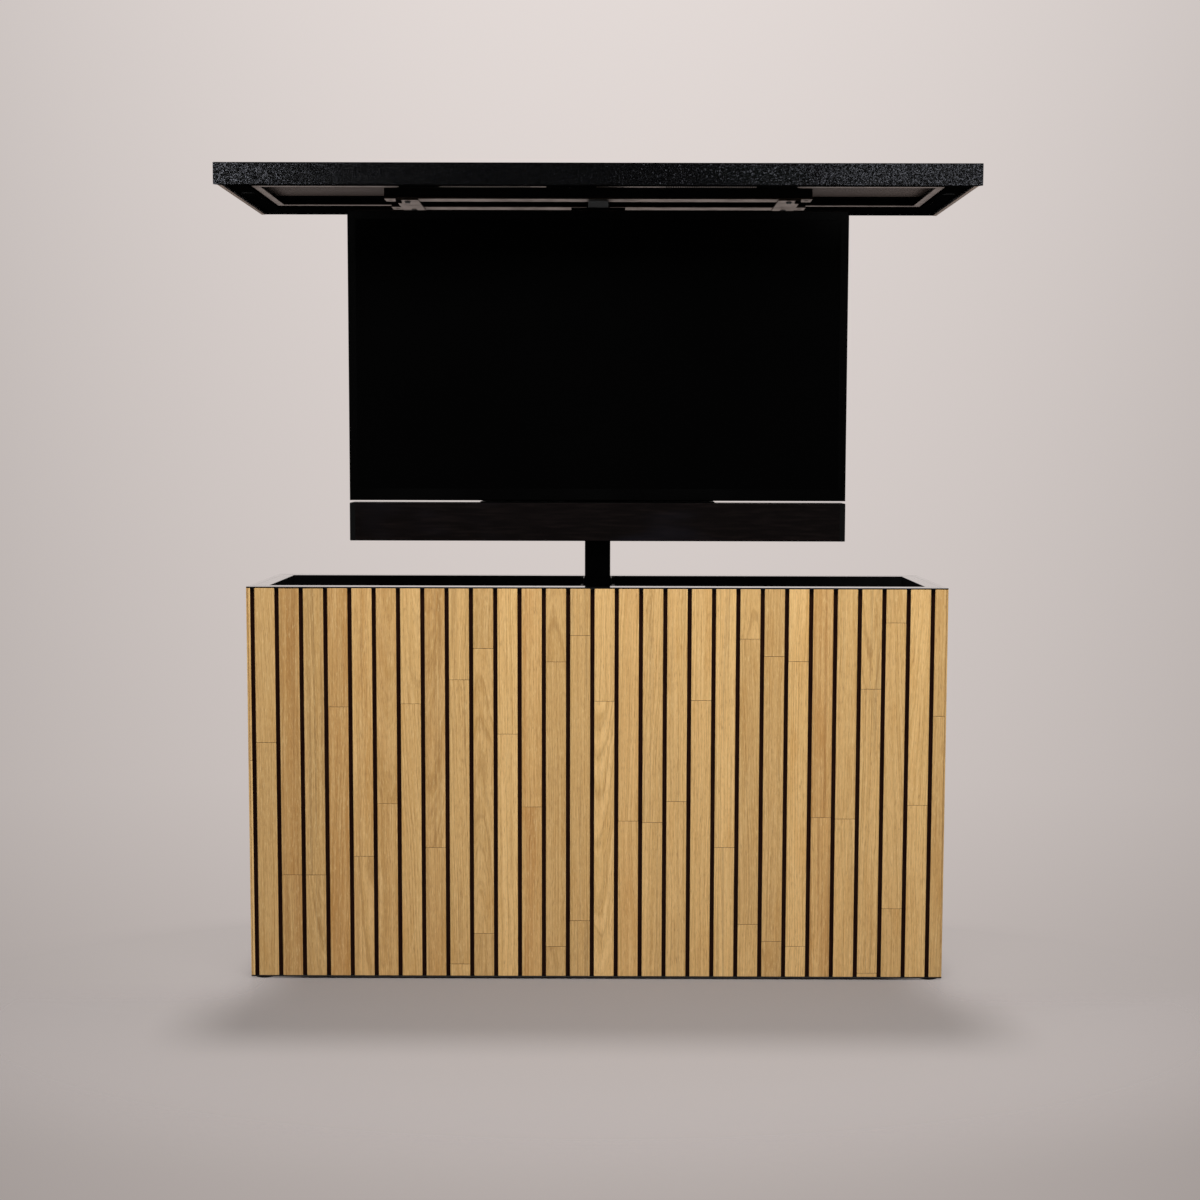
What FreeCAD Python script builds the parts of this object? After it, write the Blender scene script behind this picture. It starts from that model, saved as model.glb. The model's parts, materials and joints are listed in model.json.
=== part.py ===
"""TV lift cabinet: a slatted cabinet with a telescopic column that raises a television,
a soundbar and the cabinet's lid together.

Millimetres, +Z up, +X to the right and the front towards -Y. The origin is on the floor,
under the middle of the cabinet. The lift is drawn raised.
"""
import FreeCAD, Part
import Sketcher
import math
import os
import re
from types import SimpleNamespace
from FreeCAD import Placement, Rotation, Vector

doc = FreeCAD.newDocument("tv_lift_cabinet")

# ---------------------------------------------------------------------------
# Driving dimensions, in millimetres
# ---------------------------------------------------------------------------
SIZES = {
    # cabinet
    "cab_width": 1524, "cab_depth": 400, "cab_height": 868,
    "foot_height": 4, "foot_radius": 25, "foot_stud_radius": 5, "foot_stud_length": 22,
    "frame_tube": 30, "frame_wall": 2, "mid_post_x": 264, "cross_tube_x": 80,
    "floor_thickness": 6, "notch_clearance": 1,
    # cladding
    "backer_thickness": 3, "slat_thickness": 9, "slat_pitch": 52.8, "slat_gap": 8.5,
    "slat_arris": 1.2, "first_gap": 12.8, "board_length": 632, "butt_gap": 0.8,
    "edge_trim": 3, "panel_seam": 1,
    "panel_head_radius": 3.6, "panel_head_height": 2.4,
    "grommet_radius": 22, "grommet_flange": 8, "grommet_lip": 3,
    "grommet_inset": 100, "grommet_z": 110,
    # lift column
    "column_y": 40, "outer_size": 65, "outer_wall": 2, "middle_wall": 2, "inner_wall": 3,
    "tube_corner": 4, "stage_gap": 1.5, "glide_clearance": 0.3,
    "glide_width": 30, "glide_height": 60,
    "collar_height": 8, "collar_clearance": 0.3, "column_proud": 6, "nest_gap": 1,
    "stage_foot_gap": 10, "stage_foot_step": 6,
    "base_plate_width": 220, "base_plate_depth": 190, "base_plate_thickness": 10,
    "base_plate_corner": 12, "base_bolt_inset": 20, "base_bolt_radius": 5,
    "gusset_height": 80, "gusset_reach": 45, "gusset_thickness": 5,
    "stay_width": 80, "stay_thickness": 4, "stay_drop": 18, "stay_ear": 44,
    "motor_width": 80, "motor_depth": 66, "motor_height": 58,
    "motor_radius": 28, "motor_length": 96, "motor_gap": 0.3,
    "control_width": 130, "control_depth": 80, "control_height": 58, "control_inset": 30,
    "control_y": 100, "control_corner": 6, "control_slot": 3, "control_slot_pitch": 8,
    # movement
    "stroke": 857, "closed_gap": 1,
    # lid
    "lid_overhang_side": 44, "lid_overhang_front": 66, "lid_height": 46, "lid_slab": 12,
    "fascia_step": 5,
    "rim_inset": 12, "recess_clear": 9, "rim_wall": 2,
    "underside_thickness": 3, "trim_leg": 16, "trim_wall": 2,
    "gasket_height": 4, "gasket_width": 10, "gasket_inset": 4, "gasket_margin": 2,
    "rim_plate_length": 200, "rim_plate_thickness": 2, "rim_plate_corner": 12,
    "rim_plate_gap": 2, "rim_plate_margin": 4,
    # bracket under the lid
    "beam_length": 948, "beam_width": 46, "beam_wall": 2.5, "beam_front_reach": 67,
    "beam_rear_reach": 72, "flat_bar": 3, "head_plate": 6, "head_gap": 1,
    "head_plate_width": 124, "packer_end": 445, "packer_gap": 2,
    "cross_plate_x": 424, "cross_plate_width": 50, "cross_plate_thickness": 3,
    "bar_hole_radius": 5, "bar_hole_inset": 12,
    "carriage_bolt_radius": 4,
    # television mount
    "column_clear": 6.5, "upright_width": 120, "upright_depth": 25, "upright_wall": 3,
    "upright_drop": 15, "strap_width": 45, "strap_thickness": 6, "strap_length": 78,
    "strap_ledge": 20, "strap_ledge_thickness": 3,
    "rail_spacing": 300, "rail_width": 36, "rail_thickness": 3, "rail_length": 420,
    "cross_arm_height": 50, "cross_arm_offset": 75,
    "vesa_x": 400, "vesa_y": 200, "vesa_margin": 20, "vesa_thickness": 3,
    "vesa_window_x": 160, "vesa_window_y": 110,
    "vesa_head_radius": 6.5, "vesa_head_height": 2.6,
    # television
    "tv_width": 1098, "tv_height": 634, "tv_drop": 31, "bezel_depth": 8,
    "bezel_side": 18, "bezel_top": 20, "bezel_bottom": 26, "bezel_chamfer": 2,
    "screen_recess": 2, "screen_thickness": 3, "housing_depth": 16, "housing_inset": 2,
    "housing_wall": 2.5,
    "housing_taper": 12, "cover_depth": 46, "cover_width": 760, "cover_height": 420,
    "cover_taper": 34, "cover_wall": 2.5, "vent_width": 4, "vent_length": 36,
    "vent_pitch": 14, "vent_count": 20, "vent_rise": 148,
    # soundbar
    "bar_gap": 5, "bar_width": 1096, "bar_height": 84, "bar_depth": 80, "bar_wall": 3,
    "bar_corner": 10, "bar_cap": 12, "grille_thickness": 3, "grille_round": 1.2,
    "bar_bracket_width": 520, "bar_bracket_rise": 66, "bar_bracket_reach": 70,
}

# Height of the lowest butt joint of each front slat above the bottom of the cladding,
# from the left, as the joiner laid the boards
FRONT_BUTTS = (
    479, 519, 225, 225, 598, 267, 384, 605, 287, 26, 95, 539, 378, 66, 124, 612, 347, 344,
    391, 614, 289, 117, 79, 68, 356, 353, 8, 153, 384, 581,
)
# The other walls step each slat's joint on by this share of a board
BUTT_STEP = 0.383


class Size:
    """A length from the sheet: its number now, and the expression that keeps it up to date."""

    def __init__(self, value, text):
        self.value = float(value)
        self.text = text

    def __add__(self, other):
        other = size(other)
        return Size(self.value + other.value, "(%s + %s)" % (self.text, other.text))

    def __sub__(self, other):
        other = size(other)
        return Size(self.value - other.value, "(%s - %s)" % (self.text, other.text))

    def __mul__(self, other):
        other = size(other)
        return Size(self.value * other.value, "(%s * %s)" % (self.text, other.text))

    def __truediv__(self, other):
        other = size(other)
        return Size(self.value / other.value, "(%s / %s)" % (self.text, other.text))

    def __neg__(self):
        return Size(-self.value, "(0 - %s)" % self.text)

    def __float__(self):
        return self.value

    __radd__ = __add__

    def __rsub__(self, other):
        return size(other) - self

    __rmul__ = __mul__


def size(thing):
    """A Size from a Size or a plain number."""
    if isinstance(thing, Size):
        return thing
    text = "%r" % thing if thing >= 0 else "(0 - %r)" % -thing
    return Size(thing, text)


def fill_sheet():
    """The spreadsheet, one row to a driving dimension; returns them as Sizes by name."""
    sheet = doc.addObject("Spreadsheet::Sheet", "Sizes")
    for row, (name, number) in enumerate(SIZES.items(), 1):
        sheet.set("A%d" % row, name)
        sheet.set("B%d" % row, str(number))
        sheet.setAlias("B%d" % row, name)
    doc.recompute()
    return SimpleNamespace(**{name: Size(sheet.get(name), "Sizes." + name) for name in SIZES})


s = fill_sheet()

# ---------------------------------------------------------------------------
# Helpers: each returns an object of the document
# ---------------------------------------------------------------------------
NODES = []
SHANK_SIDES = 8
ROUND_HEAD_SIDES = 12
ROUND_HEAD_TAPER = 0.7
SIDE_TURNS = {"front": 0, "right": 90, "rear": 180, "left": -90}


def node(thing, label):
    """Marks an object as a finished piece of the cabinet, under its own name."""
    thing.Label = label
    NODES.append(thing)
    return thing


def bind(thing, **sizes):
    """Binds an object's properties to Sizes."""
    for name, length in sizes.items():
        thing.setExpression(name, size(length).text)
    return thing


def place(thing, x=0, y=0, z=0, turn=0, axis=Vector(0, 0, 1)):
    """Places an object, with its three coordinates bound to Sizes."""
    x, y, z = size(x), size(y), size(z)
    thing.Placement = Placement(Vector(x.value, y.value, z.value), Rotation(axis, turn))
    for letter, length in zip("xyz", (x, y, z)):
        thing.setExpression("Placement.Base." + letter, length.text)
    return thing


def box(name, low, extent):
    """A block from its low corner and its three lengths."""
    block = doc.addObject("Part::Box", name)
    bind(block, Length=extent[0], Width=extent[1], Height=extent[2])
    return place(block, *low)


def cylinder(name, radius, height, x, y, z, turn=0, axis=Vector(1, 0, 0)):
    rod = doc.addObject("Part::Cylinder", name)
    bind(rod, Radius=radius, Height=height)
    return place(rod, x, y, z, turn, axis)


def group(name, pieces):
    """Several solids that are one node."""
    bundle = doc.addObject("Part::Compound", name)
    bundle.Links = pieces
    return bundle


def cut(name, base, tool):
    cutting = doc.addObject("Part::Cut", name)
    cutting.Base = base
    cutting.Tool = tool
    return cutting


def fuse(name, pieces):
    joined = doc.addObject("Part::MultiFuse", name)
    joined.Shapes = pieces
    return joined


def mirrored(name, source, normal):
    """A mirror copy of a piece through the plane x = 0 or y = 0."""
    copy = doc.addObject("Part::Mirroring", name)
    copy.Source = source
    copy.Normal = normal
    return copy


def both_sides(name, source):
    """A piece on the right and its copy on the left."""
    return group(name, [source, mirrored(name + "_left", source, Vector(1, 0, 0))])


def wedge(name, outer, inner, near, far, low, high, inner_high=None):
    """A bar with slanted ends: half lengths outer and inner, from y = near to y = far."""
    bar = doc.addObject("Part::Wedge", name)
    inner_high = high if inner_high is None else inner_high
    bind(bar, Xmin=-outer, Xmax=outer, X2min=-inner, X2max=inner, Ymin=near, Ymax=far,
         Zmin=low, Zmax=high, Z2min=low, Z2max=inner_high)
    return bar


def mitred_bar(name, half_length, reach, height, wall=None, inner_height=None):
    """A bar whose outer face is at y = 0, mitred at both ends, hollow if wall is given."""
    bar = wedge(name, half_length, half_length - reach, size(0), reach, size(0), height,
                inner_height)
    if wall is None:
        return bar
    hollow = wedge(name + "_hollow", half_length - wall, half_length - reach + wall,
                   wall, reach - wall, wall, height - wall)
    return cut(name + "_tube", bar, hollow)


def around(name, half_x, half_y, z, make_bar):
    """Four bars round a rectangle, each made by make_bar(name, half_length)."""
    bars = []
    corners = {"front": (0, -half_y), "right": (half_x, 0), "rear": (0, half_y), "left": (-half_x, 0)}
    for side, turn in SIDE_TURNS.items():
        half_length = half_x if side in ("front", "rear") else half_y
        bar = make_bar("%s_%s" % (name, side), half_length)
        bars.append(place(bar, *corners[side], z, turn))
    return group(name, bars)


def origin_plane(body, role):
    return next(plane for plane in body.Origin.OriginFeatures if plane.Role == role)


def new_sketch(body, name, role, offset=0):
    """A sketch on one of the body's own origin planes, moved along its normal by offset."""
    sketch = body.newObject("Sketcher::SketchObject", name)
    sketch.AttachmentSupport = [(origin_plane(body, role), "")]
    sketch.MapMode = "FlatFace"
    sketch.setExpression("AttachmentOffset.Base.z", size(offset).text)
    return sketch


def pin_point(sketch, line, end, x, y):
    """Holds an end of a line, or a circle's centre, at x, y from the sketch's origin."""
    for kind, length in (("DistanceX", size(x)), ("DistanceY", size(y))):
        index = sketch.addConstraint(
            Sketcher.Constraint(kind, -1, 1, line, end, length.value))
        title = "%s_%d" % (kind, line)
        sketch.renameConstraint(index, title)
        sketch.setExpression("Constraints." + title, length.text)


def draw_loop(sketch, points):
    """A closed outline of straight lines through the points, each point a pair of Sizes."""
    points = [(size(x), size(y)) for x, y in points]
    first = sketch.GeometryCount
    count = len(points)
    for index in range(count):
        start, end = points[index], points[(index + 1) % count]
        sketch.addGeometry(Part.LineSegment(
            Vector(start[0].value, start[1].value, 0), Vector(end[0].value, end[1].value, 0)))
    for index in range(count):
        sketch.addConstraint(Sketcher.Constraint(
            "Coincident", first + index, 2, first + (index + 1) % count, 1))
    for index, (x, y) in enumerate(points):
        pin_point(sketch, first + index, 1, x, y)


def draw_rectangle(sketch, half_x, half_y, x=0, y=0):
    x, y, half_x, half_y = size(x), size(y), size(half_x), size(half_y)
    draw_loop(sketch, [(x - half_x, y - half_y), (x + half_x, y - half_y),
                       (x + half_x, y + half_y), (x - half_x, y + half_y)])


def draw_circles(sketch, radius, centres):
    radius = size(radius)
    for x, y in centres:
        x, y = size(x), size(y)
        index = sketch.addGeometry(
            Part.Circle(Vector(x.value, y.value, 0), Vector(0, 0, 1), radius.value))
        pin_point(sketch, index, 3, x, y)
        limit = sketch.addConstraint(Sketcher.Constraint("Radius", index, radius.value))
        title = "radius_%d" % index
        sketch.renameConstraint(limit, title)
        sketch.setExpression("Constraints." + title, radius.text)


def new_body(name):
    return doc.addObject("PartDesign::Body", name + "_body")


def pad(body, sketch, length, midplane=False, reverse=False):
    feature = body.newObject("PartDesign::Pad", sketch.Name + "_pad")
    feature.Profile = sketch
    bind(feature, Length=length)
    if midplane:
        feature.SideType = "Symmetric"
    feature.Reversed = reverse
    sketch.Visibility = False
    return feature


def pocket(body, sketch, length, reverse=False):
    """A pocket that is known to remove material."""
    doc.recompute()
    before = body.Tip.Shape.Volume
    feature = body.newObject("PartDesign::Pocket", sketch.Name + "_pocket")
    feature.Profile = sketch
    bind(feature, Length=length)
    feature.Reversed = reverse
    doc.recompute()
    if feature.Shape.Volume >= before:
        raise RuntimeError(feature.Name + " cuts nothing")
    return feature


def dress(body, kind, length, chosen):
    """A fillet (Radius) or chamfer (Size) on the chosen edges of the body's tip."""
    doc.recompute()
    base = body.Tip
    names = ["Edge%d" % (i + 1) for i, edge in enumerate(base.Shape.Edges) if chosen(edge)]
    feature = body.newObject("PartDesign::" + kind, "%s_%s" % (body.Name, kind.lower()))
    feature.Base = (base, names)
    bind(feature, **{"Radius" if kind == "Fillet" else "Size": length})
    doc.recompute()
    return feature


def runs_along(edge, direction):
    """True for a straight edge parallel to the direction."""
    if not isinstance(edge.Curve, Part.Line):
        return False
    return abs(abs(edge.Curve.Direction.dot(direction)) - 1) < 1e-6


def upright(edge):
    return runs_along(edge, Vector(0, 0, 1))


def prism(radius, top_radius, height, sides):
    """An upright many-sided peg on the XY plane, tapering to top_radius."""
    rings = []
    for ring_radius, z in ((float(radius), 0), (float(top_radius), float(height))):
        corners = [Vector(ring_radius * math.cos(math.tau * i / sides),
                          ring_radius * math.sin(math.tau * i / sides), z) for i in range(sides)]
        rings.append(Part.makePolygon(corners + corners[:1]))
    return Part.makeLoft(rings, True, True)


def fasteners(name, places, head, shank=None, sides=6, taper=1):
    """A group of screws or bolts: places are (point, direction of the head).

    head and shank are pairs of radius and length. The head rises from the point and the
    shank, where one shows, goes the other way.
    """
    solids = []
    for point, out in places:
        screw = prism(head[0], head[0] * taper, head[1], sides)
        if shank:
            stem = prism(shank[0], shank[0], shank[1], SHANK_SIDES)
            stem.Placement = Placement(Vector(0, 0, -float(shank[1])), Rotation())
            screw = screw.fuse(stem).removeSplitter()
        screw.Placement = Placement(point, Rotation(Vector(0, 0, 1), out))
        solids.extend(screw.Solids)
    feature = doc.addObject("Part::Feature", name)
    feature.Shape = Part.Compound(solids)
    return feature


def point(x, y, z):
    return Vector(float(size(x)), float(size(y)), float(size(z)))


# ---------------------------------------------------------------------------
# Levels and faces that several pieces share
# ---------------------------------------------------------------------------
cladding = s.backer_thickness + s.slat_thickness
half_width = s.cab_width / 2
half_depth = s.cab_depth / 2
frame_x = half_width - cladding
frame_y = half_depth - cladding
inside_x = frame_x - s.frame_tube
inside_y = frame_y - s.frame_tube
base_z = s.foot_height
floor_z = base_z + s.frame_tube
floor_top = floor_z + s.floor_thickness
rail_z = s.cab_height - s.frame_tube
clad_low = base_z + s.edge_trim
clad_high = s.cab_height - s.edge_trim

# column stages, from the outside in
column_base = floor_top + s.base_plate_thickness
collar_top = s.cab_height + s.column_proud
outer_top = collar_top - s.collar_height
middle_size = s.outer_size - s.outer_wall * 2 - s.stage_gap * 2
inner_size = middle_size - s.middle_wall * 2 - s.stage_gap * 2
middle_travel = s.stroke / 2
middle_low = column_base + s.stage_foot_gap + middle_travel
middle_top = collar_top + s.nest_gap + middle_travel
inner_low = column_base + s.stage_foot_gap + s.stage_foot_step + s.stroke

# lid, raised
lid_z = s.cab_height + s.closed_gap + s.gasket_height - s.rim_inset + s.stroke
rim_z = lid_z + s.rim_inset
slab_z = lid_z + s.lid_height - s.lid_slab
lid_x = half_width + s.lid_overhang_side
lid_y = half_depth + s.lid_overhang_front
rim_x = lid_x - s.lid_slab
rim_y = lid_y - s.lid_slab
gasket_x = half_width - s.gasket_inset
gasket_y = half_depth - s.gasket_inset
recess_x = gasket_x - s.gasket_width - s.gasket_margin
rim_side = rim_x - recess_x
front_beam_y = s.column_y - s.beam_front_reach
rear_beam_y = s.column_y + s.beam_rear_reach
recess_y = rear_beam_y + s.beam_width / 2 + s.trim_leg + s.recess_clear
rim_front = rim_y - recess_y
underside_z = slab_z - s.underside_thickness

# bracket under the lid, from the top down
head_top = underside_z - s.head_gap
beam_top = head_top - s.head_plate
beam_z = lid_z + s.flat_bar
plate_z = lid_z - s.cross_plate_thickness

# television mount, from the column forwards
upright_back = s.column_y - s.outer_size / 2 - s.column_clear
upright_front = upright_back - s.upright_depth
upright_top = lid_z - s.upright_drop
rail_front = upright_front - s.rail_thickness
vesa_front = rail_front - s.vesa_thickness
tv_front = vesa_front - s.cover_depth - s.housing_depth - s.bezel_depth
housing_front = tv_front + s.bezel_depth
cover_front = housing_front + s.housing_depth
tv_top = lid_z - s.tv_drop
tv_z = tv_top - s.tv_height
tv_mid = tv_z + s.tv_height / 2
bar_top = tv_z - s.bar_gap
bar_z = bar_top - s.bar_height
bar_back = vesa_front
bar_front = bar_back - s.bar_depth


# ---------------------------------------------------------------------------
# Cabinet frame
# ---------------------------------------------------------------------------
def frame_ring(name, z):
    """Four mitred square tubes round the cabinet."""
    return around(name, frame_x, frame_y, z, lambda title, half: mitred_bar(
        title, half, s.frame_tube, s.frame_tube, s.frame_wall))


def square_post(name, x, y, low, length):
    """A hollow square tube standing with its centre at x, y."""
    half = s.frame_tube / 2
    outside = box(name + "_outside", (x - half, y - half, low),
                  (s.frame_tube, s.frame_tube, length))
    bore = s.frame_tube - s.frame_wall * 2
    inside = box(name + "_inside", (x - bore / 2, y - bore / 2, low), (bore, bore, length))
    return cut(name, outside, inside)


def post_places():
    """Centres of the corner posts and the mid posts."""
    post_x = frame_x - s.frame_tube / 2
    post_y = frame_y - s.frame_tube / 2
    return [(x, y) for y in (-post_y, post_y) for x in (-post_x, -s.mid_post_x, s.mid_post_x, post_x)]


def make_frame():
    node(frame_ring("top_ring", rail_z), "top_frame")

    foot_x = frame_x - s.frame_tube / 2
    foot_y = frame_y - s.frame_tube / 2
    ring = frame_ring("base_ring", base_z)
    crossings = []
    bore = s.frame_tube - s.frame_wall * 2
    for side in (-1, 1):
        x = s.cross_tube_x * side
        outside = box("cross_outside", (x - s.frame_tube / 2, -inside_y, base_z),
                      (s.frame_tube, inside_y * 2, s.frame_tube))
        inside = box("cross_inside", (x - bore / 2, -inside_y, base_z + s.frame_wall),
                     (bore, inside_y * 2, bore))
        crossings.append(cut("cross_tube", outside, inside))
    stud_holes = [
        cylinder("stud_hole", s.foot_stud_radius + 0.3, s.frame_wall, foot_x * i, foot_y * j, base_z)
        for i in (-1, 1) for j in (-1, 1)]
    drilled = cut("base_ring_drilled", ring, group("stud_holes", stud_holes))
    node(group("base", [drilled] + crossings), "base_frame")

    posts = [square_post("post_%d" % i, x, y, floor_z, rail_z - floor_z)
             for i, (x, y) in enumerate(post_places())]
    node(group("posts", posts), "frame_posts")

    seat = s.frame_tube / 2
    sheet = box("floor_sheet", (-inside_x - seat, -inside_y - seat, floor_z),
                ((inside_x + seat) * 2, (inside_y + seat) * 2, s.floor_thickness))
    notch = s.frame_tube + s.notch_clearance * 2
    notches = [box("notch", (x - notch / 2, y - notch / 2, floor_z), (notch, notch, s.floor_thickness))
               for x, y in post_places()]
    node(cut("floor", sheet, group("notches", notches)), "floor_panel")

    body = new_body("foot")
    sketch = new_sketch(body, "foot_profile", "XZ_Plane")
    stud_top = s.foot_height + s.foot_stud_length
    draw_loop(sketch, [
        (0, 0), (s.foot_radius, 0), (s.foot_radius, s.foot_height),
        (s.foot_stud_radius, s.foot_height),
        (s.foot_stud_radius, stud_top), (0, stud_top)])
    turn = body.newObject("PartDesign::Revolution", "foot_turned")
    turn.Profile = sketch
    turn.ReferenceAxis = (sketch, ["V_Axis"])
    turn.Angle = 360
    place(body, foot_x, foot_y, 0)
    right = [body, mirrored("foot_front", body, Vector(0, 1, 0))]
    left = [mirrored("foot_left_%d" % i, foot, Vector(1, 0, 0)) for i, foot in enumerate(right)]
    node(group("feet", right + left), "levelling_feet")


# ---------------------------------------------------------------------------
# Cladding: boards on dark backers, with black trim round each face
# ---------------------------------------------------------------------------
def gap_centres(length, first):
    """Centres of the gaps along a wall, as Sizes from its left end seen from outside."""
    count = int((float(length) - float(first)) / float(s.slat_pitch)) + 1
    return [first + s.slat_pitch * i for i in range(count)]


def slat_spans(length, first, low, high):
    """Start and end of each slat along a wall, in numbers, cut off at low and high."""
    half_gap = float(s.slat_gap) / 2
    edges = [float(centre) for centre in gap_centres(length, first)]
    starts = [float(low)] + [edge + half_gap for edge in edges]
    ends = [edge - half_gap for edge in edges] + [float(high)]
    narrowest = 2 * float(s.slat_arris)
    spans = [(max(a, float(low)), min(b, float(high))) for a, b in zip(starts, ends)]
    return [(a, b) for a, b in spans if b - a > narrowest]


def board_heights(first_joint):
    """Bottom and top of each board of one slat, from its lowest butt joint."""
    low, high = float(clad_low), float(clad_high)
    length, gap = float(s.board_length), float(s.butt_gap)
    joint = low + first_joint % length
    cuts = []
    while joint < high:
        if low + gap < joint < high - gap:
            cuts.append(joint)
        joint += length
    bottoms = [low] + [z + gap / 2 for z in cuts]
    tops = [z - gap / 2 for z in cuts] + [high]
    return list(zip(bottoms, tops))


def board(start, end, bottom, top):
    """One board, its outer face at y = 0, with its two outer edges eased."""
    arris, thick = float(s.slat_arris), float(s.slat_thickness)
    outline = [(start + arris, 0), (end - arris, 0), (end, arris), (end, thick),
               (start, thick), (start, arris), (start + arris, 0)]
    face = Part.Face(Part.makePolygon([Vector(x, y, bottom) for x, y in outline]))
    return face.extrude(Vector(0, 0, top - bottom))


def slats(name, side, spans, joints, hole=None):
    """All the boards of one wall or of a part of it."""
    boards = [board(start, end, bottom, top)
              for (start, end), joint in zip(spans, joints)
              for bottom, top in board_heights(joint)]
    corners = {
        "front": (-half_width, -half_depth), "rear": (half_width, half_depth),
        "left": (-half_width, side_half), "right": (half_width, -side_half)}
    x, y = corners[side]
    wall = Placement(point(x, y, 0), Rotation(Vector(0, 0, 1), SIDE_TURNS[side]))
    for piece in boards:
        piece.Placement = wall
    if hole:
        boards = [solid for piece in boards for solid in piece.cut(hole).Solids]
    feature = doc.addObject("Part::Feature", name)
    feature.Shape = Part.Compound(boards)
    return node(feature, name)


def stepped_joints(count, start):
    """Butt joints that climb by a constant share of a board from slat to slat."""
    length = float(s.board_length)
    return [(start + i * BUTT_STEP) * length % length for i in range(count)]


side_half = half_depth - cladding - s.edge_trim


def make_trims():
    node(around("top_strip", half_width, half_depth, clad_high, lambda title, half: mitred_bar(
        title, half, cladding, s.edge_trim)), "top_trims")
    node(around("bottom_strip", half_width, half_depth, base_z, lambda title, half: mitred_bar(
        title, half, cladding, s.edge_trim)), "bottom_trims")

    body = new_body("corner_trim")
    sketch = new_sketch(body, "corner_trim_profile", "XY_Plane", clad_low)
    draw_loop(sketch, [
        (half_width, half_depth), (half_width - s.edge_trim, half_depth),
        (half_width - s.edge_trim, frame_y), (frame_x, frame_y), (frame_x, side_half),
        (half_width, side_half)])
    pad(body, sketch, clad_high - clad_low)
    right = [body, mirrored("corner_trim_front", body, Vector(0, 1, 0))]
    left = [mirrored("corner_trim_left_%d" % i, trim, Vector(1, 0, 0))
            for i, trim in enumerate(right)]
    node(group("corners", right + left), "corner_trims")


def backer(name, low_x, high_x, y):
    return box(name, (low_x, y, clad_low), (high_x - low_x, s.backer_thickness, clad_high - clad_low))


def make_cladding():
    make_trims()
    wall_x = half_width - s.edge_trim
    node(backer("front_board", -wall_x, wall_x, -frame_y - s.backer_thickness), "front_backer")
    for side, x in (("right", frame_x), ("left", -frame_x - s.backer_thickness)):
        node(box(side + "_board", (x, -side_half, clad_low),
                 (s.backer_thickness, side_half * 2, clad_high - clad_low)), side + "_backer")

    spans = slat_spans(s.cab_width, s.first_gap, s.edge_trim, s.cab_width - s.edge_trim)
    joints = [FRONT_BUTTS[i % len(FRONT_BUTTS)] for i in range(len(spans))]
    slats("front_slats", "front", spans, joints)

    side_length = side_half * 2
    whole = int(side_length.value / s.slat_pitch.value)
    first = (side_length - s.slat_pitch * whole) / 2
    side_spans = slat_spans(side_length, first, 0, side_length)
    for side, start in (("left", 0.62), ("right", 0.17)):
        slats(side + "_slats", side, side_spans, stepped_joints(len(side_spans), start))

    make_rear(wall_x)


def make_rear(wall_x):
    """The back: two fixed panels, a removable one between them, and the mains inlet."""
    centres = gap_centres(s.cab_width, s.first_gap)
    seam_right = min(centres, key=lambda u: abs(float(half_width - u) - float(s.mid_post_x)))
    seam_left = min(centres, key=lambda u: abs(float(half_width - u) + float(s.mid_post_x)))
    right_x = half_width - seam_right
    left_x = half_width - seam_left

    inlet_depth = cladding
    inlet_x = s.grommet_inset - inside_x
    hole = cylinder("inlet_hole", s.grommet_radius, inlet_depth, inlet_x, half_depth,
                    s.grommet_z, 90)
    doc.recompute()
    seam = s.panel_seam / 2
    fixed = group("rear_fixed", [backer("rear_left_board", -wall_x, left_x - seam, frame_y),
                                 backer("rear_right_board", right_x + seam, wall_x, frame_y)])
    node(cut("rear_boards", fixed, hole), "rear_backer")

    spans = slat_spans(s.cab_width, s.first_gap, s.edge_trim, s.cab_width - s.edge_trim)
    joints = stepped_joints(len(spans), 0.31)
    inner = [seam_right.value < (a + b) / 2 < seam_left.value for a, b in spans]
    fixed_rows = [i for i, inside in enumerate(inner) if not inside]
    panel_rows = [i for i, inside in enumerate(inner) if inside]
    slats("rear_slats", "rear", [spans[i] for i in fixed_rows], [joints[i] for i in fixed_rows],
          hole.Shape)
    slats("access_slats", "rear", [spans[i] for i in panel_rows], [joints[i] for i in panel_rows])

    panel = backer("access_board", left_x + seam, right_x - seam, frame_y)
    screw_gaps = [u for u in centres if seam_right.value < u.value < seam_left.value]
    places = [(half_width - u, z) for u in (screw_gaps[0], screw_gaps[-1])
              for z in (base_z + s.frame_tube / 2, s.cab_height - s.frame_tube / 2)]
    node(panel, "rear_access_panel")
    face_y = frame_y + s.backer_thickness
    node(fasteners("panel_screws", [(point(x, face_y, z), Vector(0, 1, 0)) for x, z in places],
                   (s.panel_head_radius, s.panel_head_height), None, ROUND_HEAD_SIDES,
                   ROUND_HEAD_TAPER), "access_panel_screws")

    body = new_body("grommet")
    plug = new_sketch(body, "grommet_plug", "XZ_Plane")
    draw_circles(plug, s.grommet_radius, [(0, 0)])
    pad(body, plug, inlet_depth, reverse=True)
    flange = new_sketch(body, "grommet_flange", "XZ_Plane", -inlet_depth)
    draw_circles(flange, s.grommet_radius + s.grommet_flange, [(0, 0)])
    pad(body, flange, s.grommet_lip, reverse=True)
    place(body, inlet_x, frame_y, s.grommet_z)
    node(body, "cable_grommet")


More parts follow.
